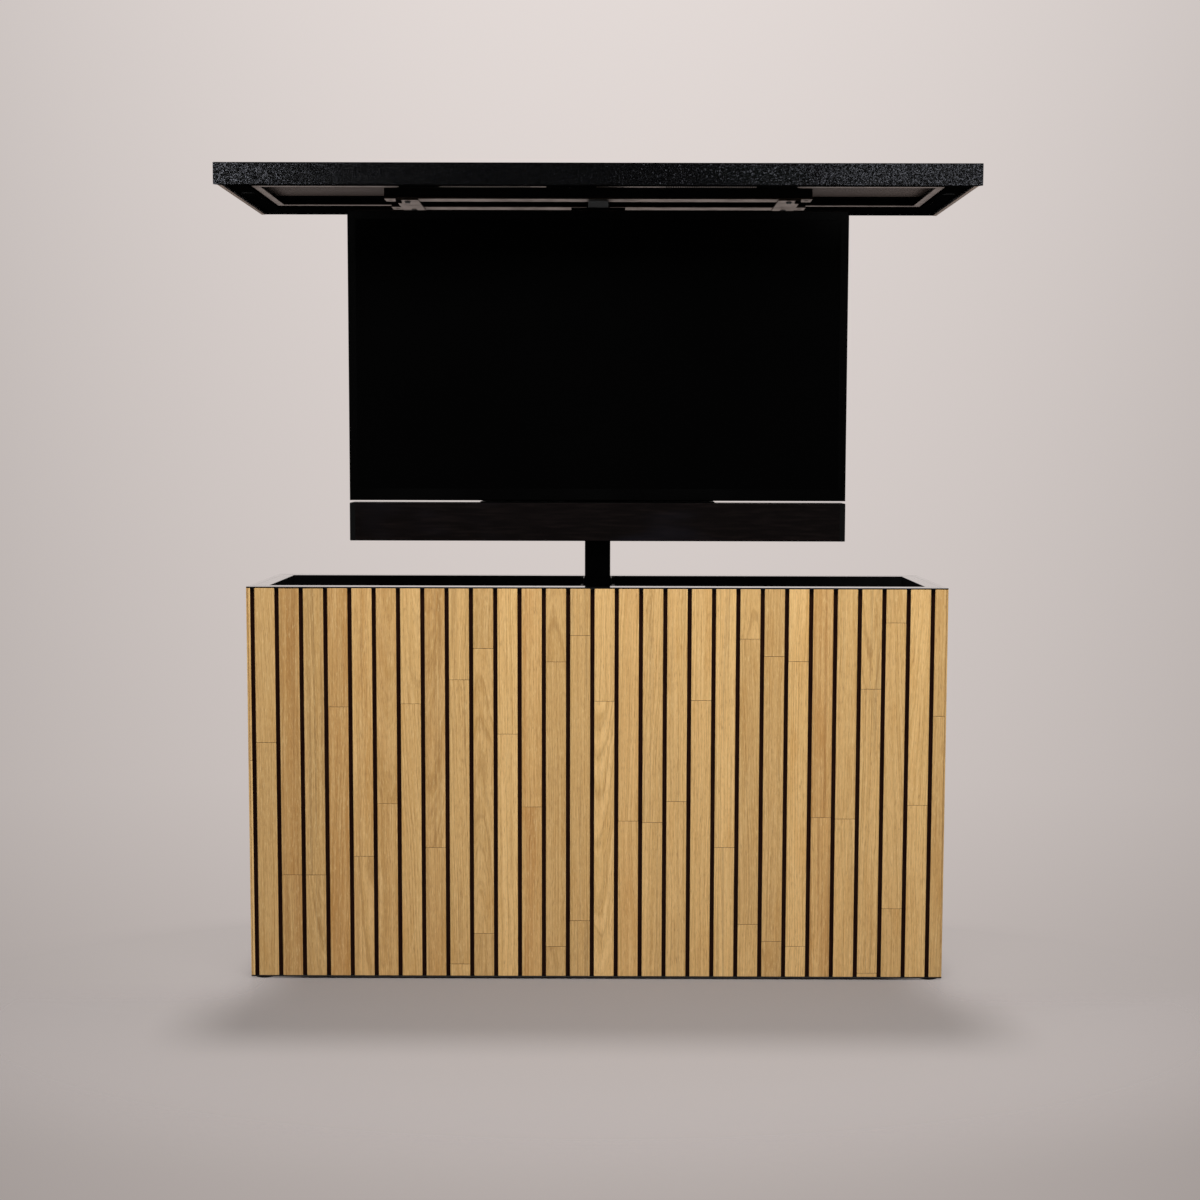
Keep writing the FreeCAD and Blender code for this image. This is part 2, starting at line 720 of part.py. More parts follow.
# ---------------------------------------------------------------------------
# Lift column
# ---------------------------------------------------------------------------
def square_ring(name, side, hole, low, height, corner, chamfer=None):
    """A square tube or collar on the column's axis, with rounded corners."""
    body = new_body(name)
    sketch = new_sketch(body, name + "_section", "XY_Plane")
    draw_rectangle(sketch, side / 2, side / 2)
    pad(body, sketch, height)
    dress(body, "Fillet", corner, upright)
    bore = new_sketch(body, name + "_bore", "XY_Plane")
    draw_rectangle(bore, hole / 2, hole / 2)
    pocket(body, bore, height, reverse=True)
    if chamfer is not None:
        top = float(height)
        outer = float(side) / 2 - 1e-3

        def top_edge(edge):
            middle = edge.CenterOfMass
            return (abs(middle.z - top) < 1e-6 and edge.BoundBox.ZLength < 1e-6
                    and max(abs(middle.x), abs(middle.y)) > outer - float(corner))
        dress(body, "Chamfer", chamfer, top_edge)
    return node(place(body, 0, s.column_y, low), name)


def glides(name, tube_size, low):
    """Four slide pads on the lower end of a moving stage, one on each face."""
    thickness = s.stage_gap - s.glide_clearance
    pads = []
    for turn in SIDE_TURNS.values():
        sine, cosine = round(math.sin(math.radians(turn))), round(math.cos(math.radians(turn)))
        reach = tube_size / 2 + thickness
        width = s.glide_width / 2
        block = box(name + "_pad", (0, 0, 0), (s.glide_width, thickness, s.glide_height))
        x = -width * cosine + reach * sine
        y = s.column_y - width * sine - reach * cosine
        pads.append(place(block, x, y, low + s.stage_foot_step, turn))
    return node(group(name + "_group", pads), name)


def make_column():
    plate_y = s.column_y + s.motor_depth / 2 - s.glide_width / 2
    body = new_body("base_plate")
    sketch = new_sketch(body, "base_plate_outline", "XY_Plane")
    draw_rectangle(sketch, s.base_plate_width / 2, s.base_plate_depth / 2)
    pad(body, sketch, s.base_plate_thickness)
    dress(body, "Fillet", s.base_plate_corner, upright)
    bolt_x = s.cross_tube_x
    bolt_y = s.base_plate_depth / 2 - s.base_bolt_inset
    drilled = new_sketch(body, "base_plate_holes", "XY_Plane")
    draw_circles(drilled, s.base_bolt_radius, [(bolt_x * i, bolt_y * j) for i in (-1, 1) for j in (-1, 1)])
    pocket(body, drilled, s.base_plate_thickness, reverse=True)
    node(place(body, 0, plate_y, floor_top), "lift_base_plate")
    places = [(point(bolt_x * i, plate_y + bolt_y * j, column_base), Vector(0, 0, 1))
              for i in (-1, 1) for j in (-1, 1)]
    node(fasteners("base_bolts", places, (s.base_bolt_radius * 1.8, s.base_bolt_radius * 1.2),
                   (s.base_bolt_radius, s.base_plate_thickness)), "base_plate_bolts")

    outer_hole = s.outer_size - s.outer_wall * 2
    middle_hole = middle_size - s.middle_wall * 2
    square_ring("outer_column", s.outer_size, outer_hole, column_base,
                outer_top - column_base, s.tube_corner)
    square_ring("outer_collar", s.outer_size, middle_size + s.collar_clearance * 2, outer_top,
                s.collar_height, s.tube_corner, s.outer_wall / 2)
    square_ring("middle_tube", middle_size, middle_hole, middle_low, middle_top - middle_low,
                s.tube_corner)
    square_ring("middle_collar", middle_size, inner_size + s.collar_clearance * 2, middle_top,
                s.collar_height, s.tube_corner, s.middle_wall / 2)
    square_ring("inner_tube", inner_size, inner_size - s.inner_wall * 2, inner_low,
                beam_top - inner_low, s.tube_corner)
    glides("middle_glides", middle_size, middle_low)
    glides("inner_glides", inner_size, inner_low)

    body = new_body("gusset")
    sketch = new_sketch(body, "gusset_outline", "XZ_Plane", -s.column_y)
    face = s.outer_size / 2
    nose = s.gusset_thickness
    draw_loop(sketch, [
        (face, column_base), (face + s.gusset_reach, column_base),
        (face + s.gusset_reach, column_base + nose), (face + nose, column_base + s.gusset_height),
        (face, column_base + s.gusset_height)])
    pad(body, sketch, s.gusset_thickness, midplane=True)
    node(both_sides("gussets", body), "column_gussets")

    column_back = s.column_y + s.outer_size / 2
    web_top = s.cab_height - s.stay_drop
    web_low = web_top - s.stay_thickness
    ear_low = web_top - s.stay_ear
    ear_top = s.cab_height - s.edge_trim
    low_x = -s.stay_width / 2
    thick = s.stay_thickness
    folds = [((low_x, column_back, ear_low), (s.stay_width, thick, web_low - ear_low)),
             ((low_x, column_back, web_low), (s.stay_width, inside_y - column_back, thick)),
             ((low_x, inside_y - thick, web_top), (s.stay_width, thick, ear_top - web_top))]
    node(group("stay", [box("stay_fold", low, extent) for low, extent in folds]), "column_stay")

    body = new_body("gear_motor")
    sketch = new_sketch(body, "gear_case_outline", "XY_Plane")
    draw_rectangle(sketch, s.motor_width / 2, s.motor_depth / 2)
    pad(body, sketch, s.motor_height)
    dress(body, "Fillet", s.base_plate_corner, upright)
    can = new_sketch(body, "motor_can_outline", "XY_Plane", s.motor_height)
    draw_circles(can, s.motor_radius, [(0, 0)])
    pad(body, can, s.motor_length)
    motor_y = column_back + s.motor_gap + s.motor_depth / 2
    node(place(body, 0, motor_y, column_base), "gear_motor")

    make_control_box()


def make_control_box():
    body = new_body("control_box")
    sketch = new_sketch(body, "control_outline", "XY_Plane")
    draw_rectangle(sketch, s.control_width / 2, s.control_depth / 2)
    pad(body, sketch, s.control_height)
    dress(body, "Fillet", s.control_corner, upright)
    slot = new_sketch(body, "control_slot", "XY_Plane", s.control_height)
    length = s.control_depth / 2 - s.control_corner * 2
    count = int(s.control_width.value * 0.6 / s.control_slot_pitch.value)
    start = s.control_slot_pitch * ((1 - count) / 2)
    draw_rectangle(slot, s.control_slot / 2, length, start, 0)
    first = pocket(body, slot, s.control_slot)
    row = body.newObject("PartDesign::LinearPattern", "control_slots")
    row.Originals = [first]
    row.Direction = (slot, ["H_Axis"])
    row.Occurrences = count
    bind(row, Length=s.control_slot_pitch * (count - 1))
    body.Tip = row
    control_x = inside_x - s.control_inset - s.control_width / 2
    node(place(body, control_x, s.control_y, floor_top), "control_box")


# ---------------------------------------------------------------------------
# Bracket between the column and the lid
# ---------------------------------------------------------------------------
def make_bracket():
    column = s.column_y
    low_y = front_beam_y - s.beam_width / 2
    high_y = rear_beam_y + s.beam_width / 2
    body = new_body("head_plate")
    sketch = new_sketch(body, "head_plate_outline", "XY_Plane", beam_top)
    draw_rectangle(sketch, s.head_plate_width / 2, (high_y - low_y) / 2, 0, (high_y + low_y) / 2)
    pad(body, sketch, s.head_plate)
    lightening = new_sketch(body, "head_plate_window", "XY_Plane", beam_top)
    draw_circles(lightening, inner_size / 2 - s.inner_wall * 2, [(0, column)])
    pocket(body, lightening, s.head_plate, reverse=True)
    node(body, "head_plate")

    beams, bars, packers = [], [], []
    beam_height = beam_top - beam_z
    for name, y in (("front", front_beam_y), ("rear", rear_beam_y)):
        edge = y - s.beam_width / 2
        outside = box(name + "_beam_outside", (-s.beam_length / 2, edge, beam_z),
                      (s.beam_length, s.beam_width, beam_height))
        inside = box(name + "_beam_inside", (-s.beam_length / 2, edge + s.beam_wall, beam_z + s.beam_wall),
                     (s.beam_length, s.beam_width - s.beam_wall * 2, beam_height - s.beam_wall * 2))
        beams.append(cut(name + "_beam", outside, inside))
        strip = box(name + "_strip", (-s.beam_length / 2, edge, lid_z),
                    (s.beam_length, s.beam_width, s.flat_bar))
        ends = [cylinder(name + "_bar_hole", s.bar_hole_radius, s.flat_bar,
                         (s.beam_length / 2 - s.bar_hole_inset) * i, y, lid_z) for i in (-1, 1)]
        bars.append(cut(name + "_bar", strip, group(name + "_bar_holes", ends)))
        start = s.head_plate_width / 2 + s.packer_gap
        packer = box(name + "_packer", (start, edge, beam_top),
                     (s.packer_end - start, s.beam_width, underside_z - beam_top))
        packers += [packer, mirrored(name + "_packer_left", packer, Vector(1, 0, 0))]
    node(group("beams", beams), "lid_beams")
    node(group("bars", bars), "flat_bars")
    node(group("packers", packers), "lid_packers")

    body = new_body("cross_plate")
    sketch = new_sketch(body, "cross_plate_outline", "XY_Plane", plate_z)
    draw_rectangle(sketch, s.cross_plate_width / 2, (high_y - low_y) / 2,
                   s.cross_plate_x, (high_y + low_y) / 2)
    pad(body, sketch, s.cross_plate_thickness)
    node(both_sides("plates", body), "cross_plates")
    places = [(point(s.cross_plate_x * side, y, plate_z), Vector(0, 0, -1))
              for side in (-1, 1) for y in (front_beam_y, rear_beam_y)]
    node(fasteners("bracket_bolts", places, (s.carriage_bolt_radius * 1.7, s.carriage_bolt_radius)),
         "carriage_bolts")


# ---------------------------------------------------------------------------
# Television mount
# ---------------------------------------------------------------------------
def make_mount():
    body = new_body("upright")
    foot = bar_top + s.upright_wall
    sketch = new_sketch(body, "upright_section", "XY_Plane", foot)
    half = s.upright_width / 2
    wall = s.upright_wall
    draw_loop(sketch, [
        (-half, upright_front), (half, upright_front), (half, upright_back),
        (half - wall, upright_back), (half - wall, upright_front + wall),
        (-half + wall, upright_front + wall), (-half + wall, upright_back), (-half, upright_back)])
    pad(body, sketch, upright_top - foot)
    node(body, "mount_upright")

    body = new_body("strap")
    sketch = new_sketch(body, "strap_profile", "YZ_Plane")
    front = upright_front + wall
    draw_loop(sketch, [
        (front, lid_z - s.strap_length), (front + s.strap_thickness, lid_z - s.strap_length),
        (front + s.strap_thickness, lid_z - s.strap_ledge_thickness),
        (front + s.strap_ledge, lid_z - s.strap_ledge_thickness), (front + s.strap_ledge, lid_z),
        (front, lid_z)])
    pad(body, sketch, s.strap_width, midplane=True)
    node(body, "hanger_strap")

    rails = []
    rail_low = tv_mid - s.rail_length / 2
    rails.append(box("rail", (s.rail_spacing / 2 - s.rail_width / 2, rail_front, rail_low),
                     (s.rail_width, s.rail_thickness, s.rail_length)))
    rails.append(mirrored("rail_left", rails[0], Vector(1, 0, 0)))
    arm_length = s.rail_spacing - s.rail_width
    for side in (-1, 1):
        arm_z = tv_mid + s.cross_arm_offset * side - s.cross_arm_height / 2
        rails.append(box("cross_arm", (-arm_length / 2, rail_front, arm_z),
                         (arm_length, s.rail_thickness, s.cross_arm_height)))
    node(group("rail_frame", rails), "mount_rails")

    body = new_body("vesa_plate")
    sketch = new_sketch(body, "vesa_outline", "XZ_Plane")
    draw_rectangle(sketch, s.vesa_x / 2 + s.vesa_margin, s.vesa_y / 2 + s.vesa_margin)
    draw_rectangle(sketch, s.vesa_window_x / 2, s.vesa_window_y / 2)
    pad(body, sketch, s.vesa_thickness)
    node(place(body, 0, rail_front, tv_mid), "vesa_plate")
    places = [(point(s.vesa_x / 2 * i, rail_front, tv_mid + s.vesa_y / 2 * j), Vector(0, 1, 0))
              for i in (-1, 1) for j in (-1, 1)]
    node(fasteners("vesa_bolts", places, (s.vesa_head_radius, s.vesa_head_height), None,
                   ROUND_HEAD_SIDES, ROUND_HEAD_TAPER), "vesa_screws")


# ---------------------------------------------------------------------------
# Television
# ---------------------------------------------------------------------------
def tapered_case(body, name, half, front, depth, taper, middle):
    """A loft from a large front rectangle back to a smaller one, along +Y."""
    half_x, half_z = half
    near = new_sketch(body, name + "_front", "XZ_Plane", -front)
    draw_rectangle(near, half_x, half_z, 0, middle)
    far = new_sketch(body, name + "_back", "XZ_Plane", -(front + depth))
    draw_rectangle(far, half_x - taper, half_z - taper, 0, middle)
    loft = body.newObject("PartDesign::AdditiveLoft", name + "_loft")
    loft.Profile = near
    loft.Sections = [far]
    loft.Ruled = True
    return loft


def make_television():
    body = new_body("bezel")
    sketch = new_sketch(body, "bezel_outline", "XZ_Plane", -tv_front)
    half_x = s.tv_width / 2
    draw_rectangle(sketch, half_x, s.tv_height / 2, 0, tv_mid)
    pad(body, sketch, s.bezel_depth, reverse=True)
    front = tv_front.value
    dress(body, "Chamfer", s.bezel_chamfer,
          lambda edge: abs(edge.CenterOfMass.y - front) < 1e-6)
    opening_x = half_x - s.bezel_side
    opening_low, opening_high = tv_z + s.bezel_bottom, tv_top - s.bezel_top
    opening = new_sketch(body, "bezel_opening", "XZ_Plane", -tv_front)
    half_z = (opening_high - opening_low) / 2
    draw_rectangle(opening, opening_x, half_z, 0, opening_low + half_z)
    pocket(body, opening, s.bezel_depth)
    node(body, "tv_bezel")

    node(box("screen_glass", (-opening_x, tv_front + s.screen_recess, opening_low),
             (opening_x * 2, s.screen_thickness, opening_high - opening_low)), "tv_screen")
    panel_y = tv_front + s.screen_recess + s.screen_thickness
    node(box("display_stack", (-opening_x, panel_y, opening_low),
             (opening_x * 2, housing_front - panel_y, opening_high - opening_low)), "tv_display_panel")

    body = new_body("housing")
    half = (half_x - s.housing_inset, s.tv_height / 2 - s.housing_inset)
    tapered_case(body, "housing", half, housing_front, s.housing_depth, s.housing_taper, tv_mid)
    hollow = new_sketch(body, "housing_hollow", "XZ_Plane", -housing_front)
    edge = s.housing_taper + s.housing_wall
    draw_rectangle(hollow, half[0] - edge, half[1] - edge, 0, tv_mid)
    pocket(body, hollow, s.housing_depth - s.housing_wall)
    node(body, "tv_housing")

    body = new_body("cover")
    half = (s.cover_width / 2, s.cover_height / 2)
    tapered_case(body, "cover", half, cover_front, s.cover_depth, s.cover_taper, tv_mid)
    hollow = new_sketch(body, "cover_hollow", "XZ_Plane", -cover_front)
    wall = s.cover_wall
    draw_rectangle(hollow, half[0] - s.cover_taper - wall, half[1] - s.cover_taper - wall, 0, tv_mid)
    pocket(body, hollow, s.cover_depth - wall)
    back = cover_front + s.cover_depth
    slot = new_sketch(body, "vent_slot", "XZ_Plane", -back)
    start = s.vent_pitch * ((1 - s.vent_count.value) / 2)
    draw_rectangle(slot, s.vent_width / 2, s.vent_length / 2, start, tv_mid + s.vent_rise)
    first = pocket(body, slot, wall, reverse=True)
    row = body.newObject("PartDesign::LinearPattern", "vent_slots")
    row.Originals = [first]
    row.Direction = (slot, ["H_Axis"])
    row.Occurrences = int(s.vent_count.value)
    bind(row, Length=s.vent_pitch * (s.vent_count - 1))
    body.Tip = row
    node(body, "tv_rear_cover")


# ---------------------------------------------------------------------------
# Soundbar
# ---------------------------------------------------------------------------
def make_soundbar():
    half = s.bar_width / 2
    shell_half = half - s.bar_cap
    body = new_body("soundbar")
    sketch = new_sketch(body, "soundbar_section", "YZ_Plane")
    wall = s.bar_wall
    shell_front = bar_front + s.grille_thickness
    draw_loop(sketch, [
        (shell_front, bar_z), (bar_back, bar_z), (bar_back, bar_top), (shell_front, bar_top),
        (shell_front, bar_top - wall), (bar_back - wall, bar_top - wall),
        (bar_back - wall, bar_z + wall), (shell_front, bar_z + wall)])
    pad(body, sketch, shell_half * 2, midplane=True)
    back = bar_back.value
    dress(body, "Fillet", s.bar_corner,
          lambda edge: runs_along(edge, Vector(1, 0, 0)) and abs(edge.CenterOfMass.y - back) < 1e-6)
    node(body, "soundbar_body")

    body = new_body("grille")
    sketch = new_sketch(body, "grille_outline", "XZ_Plane", -shell_front)
    draw_rectangle(sketch, shell_half, s.bar_height / 2, 0, bar_z + s.bar_height / 2)
    pad(body, sketch, s.grille_thickness)
    front = bar_front.value
    dress(body, "Fillet", s.grille_round,
          lambda edge: runs_along(edge, Vector(1, 0, 0)) and abs(edge.CenterOfMass.y - front) < 1e-6)
    node(body, "soundbar_grille")

    body = new_body("bar_cap")
    sketch = new_sketch(body, "bar_cap_outline", "YZ_Plane", shell_half)
    draw_rectangle(sketch, s.bar_depth / 2, s.bar_height / 2, bar_front + s.bar_depth / 2,
                   bar_z + s.bar_height / 2)
    pad(body, sketch, s.bar_cap)
    dress(body, "Fillet", s.bar_corner,
          lambda edge: runs_along(edge, Vector(1, 0, 0)) and abs(edge.CenterOfMass.y - back) < 1e-6)
    end = half.value
    dress(body, "Chamfer", s.grille_round,
          lambda edge: abs(edge.CenterOfMass.x - end) < 1e-6)
    node(both_sides("bar_caps", body), "soundbar_end_caps")

    thick = s.upright_wall
    half = s.bar_bracket_width / 2
    plate = box("bar_bracket_plate", (-half, upright_front - s.rail_thickness, bar_top + thick),
                (half * 2, s.rail_thickness, s.bar_bracket_rise - thick))
    shelf = box("bar_bracket_shelf", (-half, upright_front - s.bar_bracket_reach, bar_top),
                (half * 2, s.bar_bracket_reach, thick))
    node(group("bar_bracket", [plate, shelf]), "soundbar_bracket")


# ---------------------------------------------------------------------------
# Lid
# ---------------------------------------------------------------------------
def make_lid():
    slab = wedge("slab", lid_x, lid_x - s.lid_slab, size(0), s.lid_slab, -lid_y, lid_y)
    bind(slab, Z2min=-lid_y + s.lid_slab, Z2max=lid_y - s.lid_slab)
    node(place(slab, 0, 0, lid_z + s.lid_height, -90, Vector(1, 0, 0)), "lid_top")
    def fascia_board(title, half):
        """A board mitred to the slab; the front one hangs a step lower than the others."""
        board = mitred_bar(title, half, s.lid_slab, s.lid_height,
                           inner_height=s.lid_height - s.lid_slab)
        if not title.endswith("front"):
            bind(board, Zmin=s.fascia_step, Z2min=s.fascia_step)
        return board
    node(around("fascia", lid_x, lid_y, lid_z, fascia_board), "lid_fascias")

    rails = []
    height = slab_z - rim_z
    wall = s.rim_wall
    for side in (-1, 1):
        y = -rim_y if side < 0 else recess_y
        outside = box("rim_long_outside", (-rim_x, y, rim_z), (rim_x * 2, rim_front, height))
        inside = box("rim_long_inside", (-rim_x, y + wall, rim_z + wall),
                     (rim_x * 2, rim_front - wall * 2, height - wall * 2))
        rails.append(cut("rim_long", outside, inside))
        x = -rim_x if side < 0 else recess_x
        outside = box("rim_short_outside", (x, -recess_y, rim_z), (rim_side, recess_y * 2, height))
        inside = box("rim_short_inside", (x + wall, -recess_y, rim_z + wall),
                     (rim_side - wall * 2, recess_y * 2, height - wall * 2))
        rails.append(cut("rim_short", outside, inside))
    node(group("rim", rails), "lid_subframe")

    panel_x, panel_y = recess_x - s.trim_wall, recess_y - s.trim_wall
    node(box("underside", (-panel_x, -panel_y, underside_z),
             (panel_x * 2, panel_y * 2, s.underside_thickness)), "underside_panel")

    def angle_bar(title, half):
        leg = mitred_bar(title + "_leg", half, s.trim_leg, s.trim_wall)
        web = mitred_bar(title + "_web", half, s.trim_wall, slab_z - rim_z)
        return fuse(title, [leg, web])
    node(around("angle", recess_x, recess_y, rim_z, angle_bar), "recess_trim")

    node(around("seal", gasket_x, gasket_y, rim_z - s.gasket_height, lambda title, half: mitred_bar(
        title, half, s.gasket_width, s.gasket_height)), "lid_gasket")

    body = new_body("rim_plate")
    sketch = new_sketch(body, "rim_plate_outline", "XY_Plane", rim_z - s.rim_plate_thickness)
    inner, outer = gasket_x + s.rim_plate_gap, rim_x - s.rim_plate_margin
    draw_rectangle(sketch, (outer - inner) / 2, s.rim_plate_length / 2, (inner + outer) / 2,
                   s.column_y)
    pad(body, sketch, s.rim_plate_thickness)
    dress(body, "Fillet", s.rim_plate_corner, upright)
    node(both_sides("rim_plate_pair", body), "rim_plates")


# ---------------------------------------------------------------------------
# Build, test and write
# ---------------------------------------------------------------------------
def check_document():
    for thing in doc.Objects:
        if {"Invalid", "Error"} & set(thing.State):
            raise RuntimeError("%s (%s) failed: %s" % (thing.Name, thing.Label, thing.State))
    for thing in NODES:
        if thing.Shape.isNull() or not thing.Shape.isValid() or not thing.Shape.Solids:
            raise RuntimeError(thing.Label + " has no valid solid")


def write_parts():
    os.makedirs("parts", exist_ok=True)
    for thing in NODES:
        name = re.sub(r"[^a-z0-9_]", "_", thing.Label)
        thing.Shape.exportStep(os.path.join("parts", name + ".step"))
    print(len(NODES), "parts written")


make_frame()
make_cladding()
make_column()
make_bracket()
make_mount()
make_television()
make_soundbar()
make_lid()
doc.recompute()
check_document()
write_parts()
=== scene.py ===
import json
import math
import random

import bmesh
import bpy
from mathutils import Matrix, Vector


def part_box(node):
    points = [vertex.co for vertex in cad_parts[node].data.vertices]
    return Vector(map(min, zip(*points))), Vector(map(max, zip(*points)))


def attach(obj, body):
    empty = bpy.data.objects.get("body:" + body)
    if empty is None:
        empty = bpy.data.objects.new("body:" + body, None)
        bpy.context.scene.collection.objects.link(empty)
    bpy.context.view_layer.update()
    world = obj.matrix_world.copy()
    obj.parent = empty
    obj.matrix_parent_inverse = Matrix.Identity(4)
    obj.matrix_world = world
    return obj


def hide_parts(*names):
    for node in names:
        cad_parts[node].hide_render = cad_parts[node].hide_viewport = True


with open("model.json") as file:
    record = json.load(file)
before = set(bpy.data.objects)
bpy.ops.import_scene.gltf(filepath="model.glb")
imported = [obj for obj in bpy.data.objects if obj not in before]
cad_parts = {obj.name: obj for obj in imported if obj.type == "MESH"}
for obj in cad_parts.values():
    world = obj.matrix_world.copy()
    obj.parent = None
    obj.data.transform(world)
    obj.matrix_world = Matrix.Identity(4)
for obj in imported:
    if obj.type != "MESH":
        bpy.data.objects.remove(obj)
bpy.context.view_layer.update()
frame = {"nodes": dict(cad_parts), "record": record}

RECORD = frame["record"]
NODES = frame["nodes"]
BODY_OF = {node: body for body, nodes in RECORD["behaviour"]["bodies"].items() for node in nodes}
MM = 0.001
UP, DOWN, BACK = Vector((0, 0, 1)), Vector((0, 0, -1)), Vector((0, 1, 0))
# Faces that meet at less than FLAT are one face; an edge over SHARP gets rounded, and one over
# CREASED stays visible on a smooth piece
FLAT, SHARP, CREASED = math.radians(1), math.radians(35), math.radians(32)


# ---------------------------------------------------------------------------
# Shader maths
# ---------------------------------------------------------------------------
def paint(red, green, blue):
    """A colour from screen values of 0 to 255, as the shader wants it."""
    def linear(value):
        value /= 255
        return value / 12.92 if value <= 0.04045 else ((value + 0.055) / 1.055) ** 2.4
    return linear(red), linear(green), linear(blue), 1.0


def grey(level):
    return level, level, level, 1.0


class Value:
    """A socket of a node tree; arithmetic on it adds Math nodes."""

    def __init__(self, nodes, socket):
        self.nodes = nodes
        self.socket = socket

    def math(self, operation, *others):
        return self.nodes.math(operation, self, *others)

    def __add__(self, other):
        return self.math("ADD", other)

    def __sub__(self, other):
        return self.math("SUBTRACT", other)

    def __rsub__(self, other):
        return self.nodes.math("SUBTRACT", other, self)

    def __mul__(self, other):
        return self.math("MULTIPLY", other)

    def __pow__(self, other):
        return self.math("POWER", other)

    __radd__ = __add__
    __rmul__ = __mul__

    def wave(self, per_metre):
        """A ripple between 0 and 1."""
        return (self * (math.tau * per_metre)).math("SINE") * 0.5 + 0.5

    def ramp(self, low, high):
        """0 at low, 1 at high and a smooth change between; low may be the larger."""
        return self.nodes.add("MapRange", {"interpolation_type": "SMOOTHSTEP"},
                              {"Value": self, "From Min": low, "From Max": high})

    def vector_math(self, operation, *others):
        return self.nodes.add("VectorMath", {"operation": operation},
                              dict(enumerate((self, *others))))

    def axis(self, letter):
        return self.nodes.add("SeparateXYZ", None, {0: self}, output=letter)


class Nodes:
    """A node tree and the means to add to it."""

    def __init__(self, tree):
        self.tree = tree

    def plug(self, socket, value):
        if isinstance(value, Value):
            self.tree.links.new(value.socket, socket)
        else:
            socket.default_value = value

    def add(self, kind, settings=None, sockets=None, output=0):
        """A node of a type, its settings first and then its sockets; returns one output."""
        node = self.tree.nodes.new("ShaderNode" + kind)
        for name, setting in (settings or {}).items():
            if name == "stops":
                elements = node.color_ramp.elements
                elements.remove(elements[1])
                for number, (place, colour) in enumerate(setting):
                    stop = elements.new(place) if number else elements[0]
                    stop.position, stop.color = place, colour
            else:
                setattr(node, name, setting)
        for key, value in (sockets or {}).items():
            self.plug(node.inputs[key], value)
        return Value(self, node.outputs[output]) if len(node.outputs) else node

    def math(self, operation, *operands):
        return self.add("Math", {"operation": operation}, dict(enumerate(operands)))

    def vector(self, x, y, z):
        return self.add("CombineXYZ", None, {0: x, 1: y, 2: z})

    def mix(self, first, second, share):
        """The first colour where share is 0, the second where it is 1."""
        return self.add("Mix", {"data_type": "RGBA"}, {0: share, 6: first, 7: second}, output=2)

    def layers(self, ground, *coats):
        """The ground under coats of colour, each with the share that it covers."""
        for colour, share in coats:
            ground = self.mix(ground, colour, share)
        return ground


class Finish(Nodes):
    """A material: its Principled shader and the nodes that feed it."""

    def __init__(self, name, sockets):
        self.material = bpy.data.materials.new(name)
        self.material.use_nodes = True
        super().__init__(self.material.node_tree)
        self.shader = self.tree.nodes["Principled BSDF"]
        self.shade(sockets)

    def shade(self, sockets):
        for name, value in sockets.items():
            self.plug(self.shader.inputs[name], value)

    def place(self):
        return self.add("TexCoord", output="Object")

    def attribute(self, name, output="Vector"):
        return self.add("Attribute", {"attribute_name": name}, output=output)

    def noise(self, where, per_metre, detail=2.0, roughness=0.5):
        """Noise with one scale, or one for each axis."""
        if isinstance(per_metre, tuple):
            where, per_metre = where.vector_math("MULTIPLY", per_metre), 1.0
        return self.add("TexNoise", {"noise_dimensions": "3D"}, {
            "Vector": where, "Scale": per_metre, "Detail": detail, "Roughness": roughness})

    def cells(self, where, per_metre):
        """Three random numbers for each cell of a crystal-like pattern."""
        return self.add("TexVoronoi", {"feature": "F1"}, {"Vector": where, "Scale": per_metre},
                        output="Color")

    def bump(self, height, distance, strength):
        """Relief of a height in millimetres."""
        self.shade({"Normal": self.add("Bump", None, {
            "Height": height, "Distance": distance * MM, "Strength": strength})})


